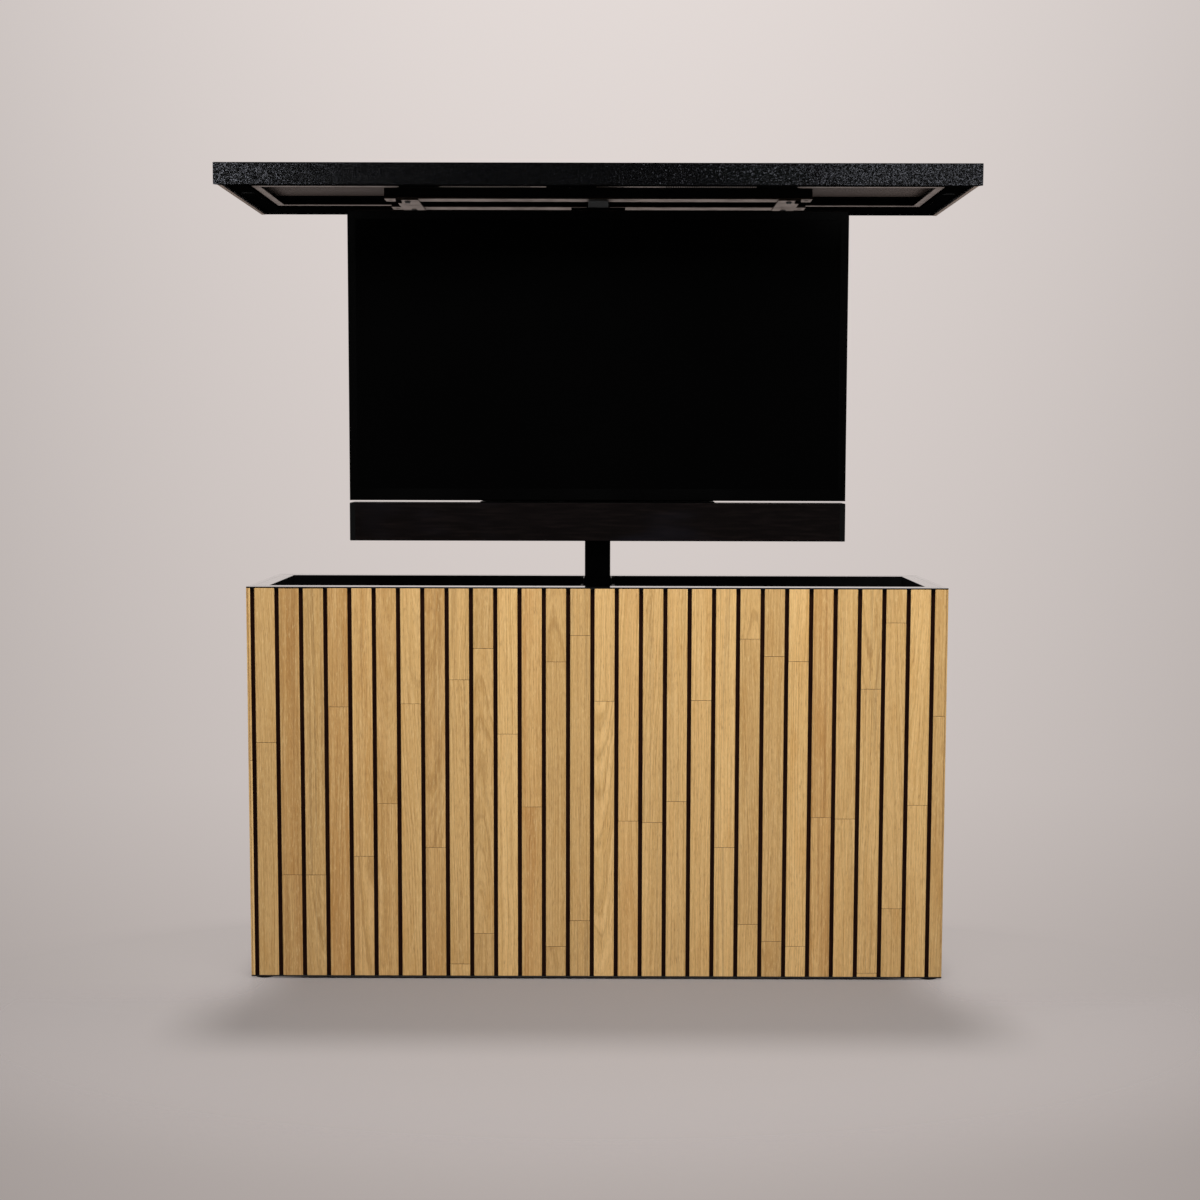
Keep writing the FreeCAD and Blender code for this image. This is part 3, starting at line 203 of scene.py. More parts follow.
# ---------------------------------------------------------------------------
# Finishes; noise scales are per metre
# ---------------------------------------------------------------------------
def oak_finish():
    """Oiled oak: fine fibres along the board, growth rings, pores, a tint of its own per board.

    The boards carry their place in the log, a run of grain of their own, their tint (how dark,
    warm and streaked) and how far a point lies behind the face, where the board's edges and sides
    get painted shade, the shade of the gaps between boards.
    """
    oak = Finish("oiled_oak", {"IOR": 1.45})
    log, grain, tint = (oak.attribute(name) for name in ("log", "grain", "tint"))
    behind = oak.attribute("behind_face", "Fac")
    dark, warm, streaked = (tint.axis(letter) for letter in "XYZ")

    bow = oak.noise(grain, (5, 5, 1.6)) - 0.5
    sway = oak.noise(grain, (34, 34, 9)) - 0.5
    wander = bow * 0.026 + sway * 0.006
    across, depth = log.axis("X") + wander, log.axis("Y") + wander
    radius = (across * across + depth * depth) ** 0.5
    growth = oak.noise(oak.vector(radius * 330, 0.0, grain.axis("Z") * 0.8), 1.0, 3.0, 0.6)
    rings = (radius + bow * 0.004).wave(190).ramp(0.7, 1.0)
    streaks = oak.noise(grain, (260, 260, 6), roughness=0.6)
    fibres = oak.noise(grain, (600, 600, 16), roughness=0.6)
    flecks = oak.noise(grain, (430, 430, 60), roughness=0.7)
    pores = oak.noise(grain, (1300, 1300, 50), detail=1.0).ramp(0.6, 0.74)
    cloud = oak.noise(grain, (26, 26, 4))
    mineral = oak.noise(grain, (150, 150, 1.5))
    orange = mineral.ramp(0.35, 0.65) * 0.3 + cloud.ramp(0.3, 0.7) * 0.2 + 0.12
    # Painted shade: from 0.6 mm behind the face, the board's eased edges and sides turn near black
    # like the shade in the gaps between boards
    painted_gap_shade = behind.ramp(0.6, 1.2)

    wood = oak.layers(
        paint(228, 186, 123),
        (paint(212, 170, 107), growth.ramp(0.38, 0.62)),
        (paint(184, 140, 80), growth.ramp(0.54, 0.78) * 0.55),
        (paint(158, 118, 68), rings * growth.ramp(0.35, 0.6) * 0.3),
        (paint(198, 146, 76), cloud.ramp(0.5, 0.8) * 0.45),
        (paint(176, 116, 50), warm * orange),
        (paint(132, 104, 66), streaked * mineral.ramp(0.5, 0.66) * 0.45),
        (paint(140, 101, 52), dark * 0.44),
        (paint(152, 110, 60), streaks.ramp(0.5, 0.85) * 0.4),
        (paint(240, 208, 152), streaks.ramp(0.48, 0.2) * 0.3),
        (paint(140, 100, 54), fibres.ramp(0.52, 0.85) * 0.35),
        (paint(240, 210, 156), fibres.ramp(0.45, 0.2) * 0.25),
        (paint(136, 96, 52), flecks.ramp(0.52, 0.8) * 0.45),
        (paint(244, 214, 156), flecks.ramp(0.46, 0.24) * 0.35),
        (paint(112, 76, 40), pores * 0.42),
        (paint(34, 14, 8), painted_gap_shade))
    oak.shade({"Base Color": wood,
               "Roughness": 0.48 + (fibres - 0.5) * 0.25 + pores * 0.14 + painted_gap_shade * 0.2})
    oak.bump(0.5 * fibres + 0.25 * growth - 0.6 * pores, 0.12, 0.7)
    return oak.material


def stain_finish():
    """Board stained dark brown behind the gaps."""
    stain = Finish("dark_stain", {"Specular IOR Level": 0.2})
    fibre = stain.noise(stain.place(), (300, 300, 14), 3.0)
    stain.shade({"Base Color": stain.mix(paint(29, 11, 7), paint(44, 22, 13), fibre.ramp(0.3, 0.8)),
                 "Roughness": 0.62 + fibre * 0.25})
    stain.bump(fibre, 0.1, 0.5)
    return stain.material


def stone_finish():
    """Black granite, honed; each bright grain lies at a tilt of its own and glints in the light."""
    grains_per_metre = 520.0
    stone = Finish("honed_black_granite", {"IOR": 1.5})
    where = stone.place()
    mottle = stone.noise(where, 260.0, 3.0, 0.6)
    patch = stone.noise(where, 60.0)
    grain = stone.cells(where, grains_per_metre)
    crystal = grain.axis("X") + (patch - 0.5) * 0.4
    shine = stone.mix((0.12, 0.123, 0.138, 1), (0.37, 0.38, 0.43, 1),
                      grain.axis("Y").ramp(0.2, 1.0))

    # The cube of a grain's random direction, so that most grains lie nearly flat
    lean = grain.vector_math("SUBTRACT", (0.5, 0.5, 0.5))
    lean = lean.vector_math("MULTIPLY", lean).vector_math("MULTIPLY", lean)
    facet = stone.add("NewGeometry", output="Normal").vector_math(
        "ADD", lean.vector_math("MULTIPLY", (0.9, 0.9, 0.9)))

    stone.shade({"Base Color": stone.layers(grey(0.0012), (grey(0.0032), mottle.ramp(0.35, 0.75)),
                                            (shine, crystal.ramp(0.34, 0.37))),
                 "Metallic": crystal.ramp(0.32, 0.33),
                 "Roughness": 0.16 + mottle * 0.08,
                 "Normal": facet.vector_math("NORMALIZE")})
    return stone.material


def sawn_finish():
    """The sawn underside edge of the granite, left rough."""
    sawn = Finish("sawn_black_granite", {"Specular IOR Level": 0.0})
    where = sawn.place()
    grain = sawn.noise(where, 420.0, 3.0, 0.6)
    saw_marks = where.axis("X").wave(140)
    sawn.shade({"Base Color": sawn.mix(grey(0.003), grey(0.012), grain.ramp(0.4, 0.75)),
                "Roughness": 0.75 + grain * 0.2})
    sawn.bump(grain + saw_marks * 0.3, 0.2, 0.8)
    return sawn.material


def powder_finish(name, level, roughness, gloss=0.3, texture=0.03, lacquer=0.0):
    """Powder coat: a fine orange peel over plain steel or aluminium, a little scuffed."""
    coat = Finish(name, {"Specular IOR Level": gloss, "Coat Weight": lacquer,
                         "Coat Roughness": 0.05})
    where = coat.place()
    peel = coat.noise(where, 900.0)
    smudge = coat.noise(where, 7.0, 3.0)
    coat.shade({"Base Color": coat.mix(grey(level), grey(level * 1.8), smudge.ramp(0.4, 0.8)),
                "Roughness": roughness + (smudge - 0.5) * 0.14 + (peel - 0.5) * 0.05})
    coat.bump(peel, texture, 0.35)
    return coat.material


def moulded_finish(name, level, roughness, gloss=0.3, grains=1400.0, texture=0.05):
    """Moulded plastic with a fine spark-eroded grain."""
    plastic = Finish(name, {"Specular IOR Level": gloss})
    where = plastic.place()
    grain = plastic.noise(where, grains)
    drift = plastic.noise(where, 5.0)
    plastic.shade({"Base Color": plastic.mix(grey(level), grey(level * 1.7), drift.ramp(0.45, 0.8)),
                   "Roughness": roughness + (grain - 0.5) * 0.16})
    plastic.bump(grain, texture, 0.5)
    return plastic.material


def metal_finish(name, bright, dull, roughness):
    """Bare metal with lines drawn along X and patches that have gone dull."""
    metal = Finish(name, {"Metallic": 1.0})
    where = metal.place()
    lines = metal.noise(where, (40, 900, 900), 3.0)
    spangle = metal.cells(where, 130.0).axis("X")
    patch = metal.noise(where, 26.0, 3.0)
    share = patch.ramp(0.4, 0.75) * 0.6 + spangle * 0.3
    metal.shade({"Base Color": metal.mix(bright, dull, share),
                 "Roughness": roughness + share * 0.14 + (lines - 0.5) * 0.18})
    metal.bump(lines, 0.03, 0.5)
    return metal.material


def rubber_finish():
    """Black rubber, a little dusty."""
    rubber = Finish("black_rubber", {"Specular IOR Level": 0.3})
    where = rubber.place()
    dust = rubber.noise(where, 60.0, 4.0)
    grain = rubber.noise(where, 1600.0)
    rubber.shade({"Base Color": rubber.mix(grey(0.004), grey(0.012), dust.ramp(0.4, 0.8)),
                  "Roughness": 0.68 + grain * 0.2})
    rubber.bump(grain, 0.05, 0.6)
    return rubber.material


def glass_finish():
    """The television's front glass, black behind a clear anti-glare face."""
    glass = Finish("screen_glass", {"IOR": 1.5, "Specular IOR Level": 0.2})
    film = glass.noise(glass.place(), 3.0)
    glass.shade({"Base Color": glass.mix(grey(0.0004), grey(0.0009), film),
                 "Roughness": 0.1 + film * 0.06})
    return glass.material


def cloth_finish():
    """Speaker cloth: a plain weave of fine black yarn under broad bluish streaks of painted sheen.
    """
    cloth = Finish("speaker_cloth", {"Specular IOR Level": 0.15})
    where = cloth.place()
    weave = where.axis("X").wave(820) * where.axis("Z").wave(820)
    slub = cloth.noise(where, (16, 16, 210), 3.0)
    # Painted sheen: broad, lighter bluish streaks laid over the yarn's colour
    painted_sheen = cloth.noise(where, (3.5, 3.5, 9))
    yarn = cloth.layers(
        paint(8, 6, 6),
        (paint(24, 18, 17), weave * 0.4 + slub.ramp(0.4, 0.8) * 0.5),
        (paint(21, 20, 26), painted_sheen.ramp(0.5, 0.72) * 0.6))
    cloth.shade({"Base Color": yarn, "Roughness": 0.6 + weave * 0.2})
    cloth.bump(weave, 0.16, 0.6)
    return cloth.material


def board_finish():
    """The warm grey board let into the underside of the lid."""
    board = Finish("underside_board", {"Specular IOR Level": 0.25})
    where = board.place()
    drift = board.noise(where, (3, 12, 12), 3.0)
    grain = board.noise(where, 700.0)
    board.shade({"Base Color": board.mix(paint(112, 98, 92), paint(128, 112, 105),
                                         drift.ramp(0.3, 0.7)),
                 "Roughness": 0.55 + grain * 0.15})
    board.bump(grain, 0.04, 0.4)
    return board.material


def edging_finish():
    """Pale edging band with a faint run of grain."""
    band = Finish("pale_edging", {"Specular IOR Level": 0.3})
    run = band.noise(band.place(), (60, 6, 60), 4.0)
    band.shade({"Base Color": band.mix(paint(224, 200, 184), paint(202, 178, 162),
                                       run.ramp(0.3, 0.7)),
                "Roughness": 0.5 + run * 0.15})
    band.bump(run, 0.03, 0.4)
    return band.material


OAK = oak_finish()
STAIN = stain_finish()
STONE = stone_finish()
SAWN_STONE = sawn_finish()
FRAME_COAT = powder_finish("frame_powder_coat", 0.0035, 0.16, gloss=0.5, texture=0.01, lacquer=1.0)
TRIM_COAT = powder_finish("black_anodised_trim", 0.005, 0.14, gloss=0.5, texture=0.01, lacquer=1.0)
STEEL_COAT = powder_finish("column_powder_coat", 0.0013, 0.42)
MOTOR_COAT = powder_finish("motor_enamel", 0.03, 0.4, gloss=0.5)
MATTE = powder_finish("matte_black_coat", 0.003, 0.75, gloss=0.0)
CUT_EDGE = powder_finish("bare_cut_edge", 0.05, 0.5)
ZINC = metal_finish("dull_zinc_plate", (0.3, 0.25, 0.22, 1), (0.17, 0.14, 0.12, 1), 0.42)
TRIM_METAL = metal_finish("satin_aluminium", (0.29, 0.245, 0.22, 1), (0.2, 0.165, 0.15, 1), 0.4)
GALVANISED = moulded_finish("weathered_galvanising", 0.15, 0.5, gloss=0.4, grains=300.0,
                            texture=0.1)
PLASTIC = moulded_finish("black_moulding", 0.004, 0.5)
RIB_PLASTIC = moulded_finish("ribbed_packer_face", 0.05, 0.6)
GLIDE = moulded_finish("glide_plastic", 0.01, 0.4, grains=900.0)
BEZEL = moulded_finish("bezel_plastic", 0.0008, 0.22, gloss=0.25, grains=2400.0, texture=0.01)
BAR_PLASTIC = moulded_finish("soundbar_plastic", 0.0042, 0.6, gloss=0.1)
PANEL_BLACK = moulded_finish("display_panel_black", 0.002, 0.5)
FLOOR_COAT = moulded_finish("floor_board_black", 0.006, 0.6, grains=500.0, texture=0.1)
RUBBER = rubber_finish()
GLASS = glass_finish()
CLOTH = cloth_finish()
BOARD = board_finish()
EDGING = edging_finish()


# ---------------------------------------------------------------------------
# Mesh work; lengths are in millimetres unless a comment says metres
# ---------------------------------------------------------------------------
def solids(node):
    """Each solid of a CAD node as a merged copy whose flat faces are whole again."""
    source = NODES[node].data
    groups, current, unmatched = [], [], {}
    for face in source.polygons:
        corners = [tuple(round(c, 6) for c in source.vertices[i].co) for i in face.vertices]
        current.append(face.index)
        for start, end in zip(corners, corners[1:] + corners[:1]):
            if unmatched.get((end, start)):
                unmatched[end, start] -= 1
                if not unmatched[end, start]:
                    del unmatched[end, start]
            else:
                unmatched[start, end] = unmatched.get((start, end), 0) + 1
        if not unmatched:
            groups.append(set(current))
            current = []
    for group in groups:
        solid = bmesh.new()
        solid.from_mesh(source)
        others = [face for face in solid.faces if face.index not in group]
        bmesh.ops.delete(solid, geom=others, context="FACES")
        bmesh.ops.remove_doubles(solid, verts=solid.verts, dist=2e-6)
        bmesh.ops.dissolve_limit(solid, angle_limit=FLAT, verts=solid.verts, edges=solid.edges)
        yield solid


def span(solid):
    """Lowest and highest corner of a solid, in metres."""
    places = [vert.co for vert in solid.verts]
    low = Vector(min(place[axis] for place in places) for axis in range(3))
    high = Vector(max(place[axis] for place in places) for axis in range(3))
    return low, high


def extents(node):
    """Lowest corner, highest corner and middle of each solid of a node, in metres."""
    for solid in solids(node):
        low, high = span(solid)
        solid.free()
        yield low, high, (low + high) / 2


def box(node):
    """Lowest and highest corner of a whole node, in millimetres."""
    return (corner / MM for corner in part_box(node))


def ease(solid, width, segments=2):
    """Rounds the sharp edges."""
    sharp = [edge for edge in solid.edges if edge.is_manifold and edge.calc_face_angle() > SHARP]
    bmesh.ops.bevel(solid, geom=sharp, offset=width * MM, offset_type="OFFSET",
                    segments=segments, profile=0.5, affect="EDGES", material=-1,
                    clamp_overlap=True)
    return solid


def block(low, high, width, segments=2):
    """A block between two corners, its edges eased by a width or left sharp with 0."""
    low, high = Vector(low) * MM, Vector(high) * MM
    solid = bmesh.new()
    bmesh.ops.create_cube(solid, size=1.0, matrix=Matrix.LocRotScale(
        (low + high) / 2, None, high - low))
    return ease(solid, width, segments) if width else solid


def pair(low, high, width):
    """A block on the right, between two corners, and its twin on the left."""
    (low_x, *low_rest), (high_x, *high_rest) = low, high
    return [block((-high_x, *low_rest), (-low_x, *high_rest), width), block(low, high, width)]


def turned(profile, steps):
    """A solid of revolution about Z from pairs of radius and height."""
    solid = bmesh.new()
    verts = [solid.verts.new((radius * MM, 0, height * MM)) for radius, height in profile]
    edges = [solid.edges.new(ends) for ends in zip(verts, verts[1:])]
    bmesh.ops.spin(solid, geom=verts + edges, cent=(0, 0, 0), axis=(0, 0, 1), dvec=(0, 0, 0),
                   angle=math.tau, steps=steps, use_merge=True, use_duplicate=False)
    bmesh.ops.remove_doubles(solid, verts=solid.verts, dist=1e-6)
    bmesh.ops.recalc_face_normals(solid, faces=solid.faces)
    return solid


def placed(solid, at, direction=UP, turn=0.0):
    """Moves a solid from the origin to a place in metres, its Z axis along direction."""
    matrix = (Matrix.Translation(at) @ UP.rotation_difference(direction).to_matrix().to_4x4()
              @ Matrix.Rotation(turn, 4, "Z"))
    bmesh.ops.transform(solid, matrix=matrix, verts=solid.verts)
    return solid


def hexagon_reach(angle):
    """How far a hexagon's edge lies from its middle, as a share of its corner radius."""
    third = math.pi / 3
    return math.cos(third / 2) / math.cos((angle % third) - third / 2)


def socket_screw(radius, height, key):
    """A button head with a hexagon socket, standing on the XY plane."""
    socket_depth = height * 0.55
    floor = height - socket_depth
    solid = turned([(0, floor), (key * 0.92, floor), (key, floor + 0.2), (key, height - 0.15),
                    (key * 1.12, height), (radius * 0.62, height * 0.97),
                    (radius * 0.88, height * 0.62), (radius, height * 0.2), (radius, 0),
                    (0, 0)], 24)
    for vert in solid.verts:
        flat = Vector((vert.co.x, vert.co.y))
        if 0.1 * key * MM < flat.length < key * 1.05 * MM and vert.co.z > 0.1 * height * MM:
            vert.co.x, vert.co.y = flat * hexagon_reach(math.atan2(flat.y, flat.x))
    return solid


def hexagon_bolt(radius, height, washer):
    """A hexagon head on a washer, standing on the XY plane."""
    head = bmesh.new()
    bmesh.ops.create_cone(head, cap_ends=True, segments=6, radius1=radius * MM,
                          radius2=radius * MM, depth=height * MM,
                          matrix=Matrix.Translation((0, 0, (washer + height / 2) * MM)))
    ease(head, height * 0.12)
    ring = turned([(0, 0), (radius * 1.25, 0), (radius * 1.3, washer * 0.3),
                   (radius * 1.3, washer * 0.8), (radius * 1.24, washer), (0, washer)], 24)
    return [head, ring]


# ---------------------------------------------------------------------------
# Pieces
# ---------------------------------------------------------------------------
def piece(name, parts, finish, smooth=False):
    """One object from several solids."""
    whole = bmesh.new()
    scrap = bpy.data.meshes.new("scrap")
    for part in parts:
        part.to_mesh(scrap)
        part.free()
        whole.from_mesh(scrap)
    mesh = bpy.data.meshes.new(name)
    whole.to_mesh(mesh)
    whole.free()
    bpy.data.meshes.remove(scrap)
    mesh.materials.append(finish)
    if smooth:
        mesh.shade_smooth()
        mesh.set_sharp_from_angle(angle=CREASED)
    thing = bpy.data.objects.new(name, mesh)
    bpy.context.scene.collection.objects.link(thing)
    return thing


def mount(thing, node):
    """The piece stands for a CAD node: the node is hidden and the piece moves with the node's body.
    """
    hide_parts(node)
    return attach(thing, BODY_OF[node])


def eased(node, finish, width, segments=2):
    """The node's own solids with their edges rounded."""
    parts = [ease(solid, width, segments) for solid in solids(node)]
    return mount(piece(node + "_eased", parts, finish), node)


def add_piece(name, parts, finish, body):
    """A piece that stands for no CAD node."""
    thing = piece(name, parts, finish)
    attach(thing, body)


def refinish(finish, *nodes):
    """CAD nodes that keep their shape and get a finish."""
    for node in nodes:
        NODES[node].data.materials[0] = finish


def second_finish(thing, finish, chosen):
    """Gives another finish to the faces for which chosen(normal) holds."""
    thing.data.materials.append(finish)
    for face in thing.data.polygons:
        if chosen(face.normal):
            face.material_index = 1


def rear_screws(name, node, radius, height, key):
    """Socket screws for a node of plain heads that face the back."""
    screws = [placed(socket_screw(radius, height, key), Vector((middle.x, low.y, middle.z)), BACK)
              for low, _, middle in extents(node)]
    mount(piece(name, screws, ZINC, smooth=True), node)


# ---------------------------------------------------------------------------
# Cladding
# ---------------------------------------------------------------------------
QUARTER_SAWN_SHARE = 0.84


def boards(node, along_x, seed):
    """Every board of one wall: its place in the log, its own grain and a tint for its row."""
    chance = random.Random(seed)
    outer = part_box("corner_trims")[1]
    parts = list(solids(node))
    middles = [sum(span(solid), Vector()) / 2 for solid in parts]
    rows = [round((middle.x if along_x else middle.y) / MM) for middle in middles]
    tones = {row: (chance.gauss(0.4, 0.3), chance.choice((0, 0, 0, 0, 0.5, 1)),
                   chance.choice((0, 0, 0, 0.6, 1))) for row in sorted(set(rows))}
    columns = {"log": [], "grain": [], "tint": [], "behind_face": []}
    for solid, middle, row in zip(parts, middles, rows):
        ease(solid, chance.uniform(0.3, 0.6))
        side = chance.choice((-1, 1))
        if chance.random() < QUARTER_SAWN_SHARE:
            heart = Vector((side * chance.uniform(0.05, 0.16), chance.uniform(0.0, 0.05), 0))
            lean = Vector((chance.gauss(0, 0.02), chance.gauss(0, 0.02), 0))
        else:
            heart = Vector((side * chance.uniform(0, 0.025), chance.uniform(0.03, 0.07), 0))
            lean = Vector((0, chance.choice((-1, 1)) * chance.uniform(0.03, 0.08), 0))
        start = Vector(chance.uniform(0, 40) for axis in range(3))
        dark, warm, streaked = tones[row]
        tint = (min(max(dark + chance.gauss(0, 0.1), 0), 1.2), warm * chance.uniform(0.7, 1.0),
                streaked * chance.uniform(0.6, 1.0))
        for vert in solid.verts:
            place = vert.co - middle
            across, deep = (place.x, place.y) if along_x else (place.y, place.x)
            local = Vector((across, deep, place.z))
            columns["log"].extend(local + heart + lean * place.z)
            columns["grain"].extend(local + start)
            columns["tint"].extend(tint)
            # How far each point lies behind the face; the oak finish paints the shade of the gaps
            # by it
            columns["behind_face"].append(min(outer.x - abs(vert.co.x),
                                              outer.y - abs(vert.co.y)) / MM)
    thing = piece(node + "_boards", parts, OAK)
    for name, numbers in columns.items():
        kind, field = ("FLOAT", "value") if name == "behind_face" else ("FLOAT_VECTOR", "vector")
        thing.data.attributes.new(name, kind, "POINT").data.foreach_set(field, numbers)
    return mount(thing, node)


def make_cladding():
    for seed, (node, along_x) in enumerate((
            ("front_slats", True), ("rear_slats", True), ("access_slats", True),
            ("left_slats", False), ("right_slats", False)), 40):
        boards(node, along_x, seed)
    boards("corner_trims", True, 51)
    refinish(STAIN, "front_backer", "left_backer", "right_backer", "rear_backer",
             "rear_access_panel")
    for node in ("top_trims", "bottom_trims"):
        eased(node, TRIM_COAT, 0.4)
    rear_screws("access_panel_screw_heads", "access_panel_screws", 3.6, 2.4, 1.5)
    make_grommet()


def make_grommet():
    low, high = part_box("cable_grommet")
    at = Vector(((low.x + high.x) / 2, low.y, (low.z + high.z) / 2))
    ring = turned([(0, 10.5), (15, 10.5), (16, 11), (17, 13.6), (19, 15), (27.5, 15),
                   (29.6, 14.1), (30, 12.6), (30, 12), (22, 12), (22, 0.4), (21.4, 0), (19, 0),
                   (19, 9), (0, 9)], 48)
    mount(piece("cable_grommet_turned", [placed(ring, at, BACK)], RUBBER, smooth=True),
          "cable_grommet")
    slits = [placed(block((-0.25, -14.5, 10.4), (0.25, 14.5, 10.75), 0), at, BACK,
                    math.pi / 3 * turn) for turn in range(3)]
    for slit in slits:
        slit.normal_update()
    add_piece("cable_grommet_slits", slits, STAIN, "cabinet")


# ---------------------------------------------------------------------------
# Frame, floor and feet
# ---------------------------------------------------------------------------
def make_frame():
    for node in ("top_frame", "base_frame", "frame_posts"):
        eased(node, FRAME_COAT, 0.8)
    refinish(FLOOR_COAT, "floor_panel")
    foot = [(0, 0), (23.6, 0), (25, 1.2), (25, 2.6), (23.8, 3.7), (5, 4.0), (5, 25.4),
            (4.4, 26), (0, 26)]
    feet = [placed(turned(foot, 40), Vector((middle.x, middle.y, 0)))
            for _, _, middle in extents("levelling_feet")]
    mount(piece("levelling_feet_turned", feet, RUBBER, smooth=True), "levelling_feet")


# ---------------------------------------------------------------------------
# Column and drive
# ---------------------------------------------------------------------------
def make_column():
    refinish(STEEL_COAT, "outer_column", "middle_tube", "inner_tube", "outer_collar",
             "middle_collar")
    refinish(GLIDE, "middle_glides", "inner_glides")
    for node in ("lift_base_plate", "column_gussets", "column_stay"):
        eased(node, STEEL_COAT, 0.6)
    plate_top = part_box("lift_base_plate")[1].z
    bolts = [placed(part, Vector((middle.x, middle.y, plate_top)))
             for _, _, middle in extents("base_plate_bolts") for part in hexagon_bolt(8, 6, 1.4)]
    mount(piece("base_plate_bolt_heads", bolts, ZINC), "base_plate_bolts")
    make_motor()
    eased("control_box", PLASTIC, 0.8)


def make_motor():
    """A cast gear case with ribs on its back, and the motor's grooved can on top."""
    case_height, can_radius, grooves, groove_step = 58, 28, 7, 9
    low, high = box("gear_motor")
    case_top = low.z + case_height
    case = block(low, (high.x, high.y, case_top), 6, 4)
    ribs = [block((x - 1.5, high.y - 1.2, low.z + 6), (x + 1.5, high.y, case_top - 6), 0.6)
            for x in (-24, -12, 0, 12, 24)]
    can_height = high.z - case_top
    profile = [(0, 0), (can_radius, 0), (can_radius, 10)]
    for number in range(grooves):
        start = 14 + number * groove_step
        profile += [(can_radius, start), (can_radius - 1, start + 0.8),
                    (can_radius - 1, start + 3), (can_radius, start + 3.8)]
    profile += [(can_radius, can_height - 8), (can_radius - 0.6, can_height - 6),
                (can_radius - 1.5, can_height - 3), (12, can_height - 1.2),
                (10, can_height), (0, can_height)]
    middle = (low + high) / 2
    can = placed(turned(profile, 48), Vector((middle.x, middle.y, case_top)) * MM)
    mount(piece("gear_motor_housing", [case, can] + ribs, MOTOR_COAT, smooth=True), "gear_motor")


# ---------------------------------------------------------------------------
# Bracket and television mount
# ---------------------------------------------------------------------------
def make_bracket():
    for node in ("head_plate", "mount_upright", "mount_rails", "vesa_plate", "soundbar_bracket"):
        eased(node, STEEL_COAT, 0.4)
    eased("lid_beams", STEEL_COAT, 0.8)
    eased("lid_packers", PLASTIC, 0.5)
    for node in ("flat_bars", "cross_plates"):
        eased(node, ZINC, 0.3)
    eased("hanger_strap", GALVANISED, 0.3)
    bolts = [placed(part, Vector((middle.x, middle.y, high.z)), DOWN)
             for _, high, middle in extents("carriage_bolts")
             for part in hexagon_bolt(5.6, 2.8, 1.0)]
    mount(piece("bracket_bolt_heads", bolts, GALVANISED), "carriage_bolts")
    plate_low, _ = box("cross_plates")
    bar_low, _ = box("flat_bars")
    # Black blocks over the outer ends of the cross plates, where the plates look dark
    dark_ends = pair((437, bar_low.y - 0.6, plate_low.z - 3.5),
                 (448.5, bar_low.y + 27, plate_low.z + 0.1), 1.2)
    add_piece("dark_plate_ends", dark_ends, MATTE, "lift_carriage")
    rear_screws("vesa_screw_heads", "vesa_screws", 6.5, 2.6, 2.6)


# ---------------------------------------------------------------------------
# Television and soundbar
# ---------------------------------------------------------------------------
def make_television():
    eased("tv_bezel", BEZEL, 0.4)
    refinish(GLASS, "tv_screen")
    refinish(PANEL_BLACK, "tv_display_panel")
    eased("tv_housing", PLASTIC, 1.2, 3)
    eased("tv_rear_cover", PLASTIC, 0.3, 1)
    eased("soundbar_body", BAR_PLASTIC, 0.5)
    refinish(CLOTH, "soundbar_grille")
    eased("soundbar_end_caps", BAR_PLASTIC, 0.4)


# ---------------------------------------------------------------------------
# Lid
# ---------------------------------------------------------------------------
# How far the front fascia hangs below the others
FASCIA_STEP = 5
TRIM_WALL = 2
# Places across the lid: ribs and teeth on both sides, and the plain runs of the brush
RIBS = range(150, 340, 5)
BRUSH_TEETH = range(148, 340, 5)
BRUSH_BARS = ((-430, -341), (-112, -4), (341, 430))


def make_lid():
    eased("lid_top", STONE, 0.6, 3)
    second_finish(eased("lid_fascias", STONE, 0.5, 3), SAWN_STONE, lambda normal: normal.z < -0.5)
    eased("lid_subframe", MATTE, 0.8)
    refinish(BOARD, "underside_panel")
    eased("recess_trim", TRIM_METAL, 0.3)
    eased("lid_gasket", MATTE, 1.4, 3)
    second_finish(eased("rim_plates", MATTE, 0.3), CUT_EDGE, lambda normal: abs(normal.z) < 0.5)

    low, high = box("lid_fascias")
    side_foot = low.z + FASCIA_STEP
    bands = pair((high.x - 9.4, low.y + 12.4, side_foot - 0.7),
                 (high.x - 1.2, high.y - 1.2, side_foot + 0.2), 0.25)
    add_piece("lid_edging_bands", bands, EDGING, "lift_carriage")
    make_recess_shade_skins()

    low, high = box("lid_packers")
    ribs = [rib for x in RIBS for rib in pair(
        (x - 1.2, low.y - 0.5, low.z + 0.4), (x + 1.2, low.y + 0.1, high.z - 0.4), 0)]
    add_piece("packer_ribs", ribs, RIB_PLASTIC, "lift_carriage")

    low, _ = box("recess_trim")
    near, far = (low.y + 0.5, low.z - 0.25), (low.y + 15, low.z + 0.1)
    brush = [tooth for x in BRUSH_TEETH for tooth in pair((x - 1.3, *near), (x + 1.3, *far), 0)]
    brush += [block((start, *near), (end, *far), 0) for start, end in BRUSH_BARS]
    add_piece("recess_brush_strip", brush, MATTE, "lift_carriage")


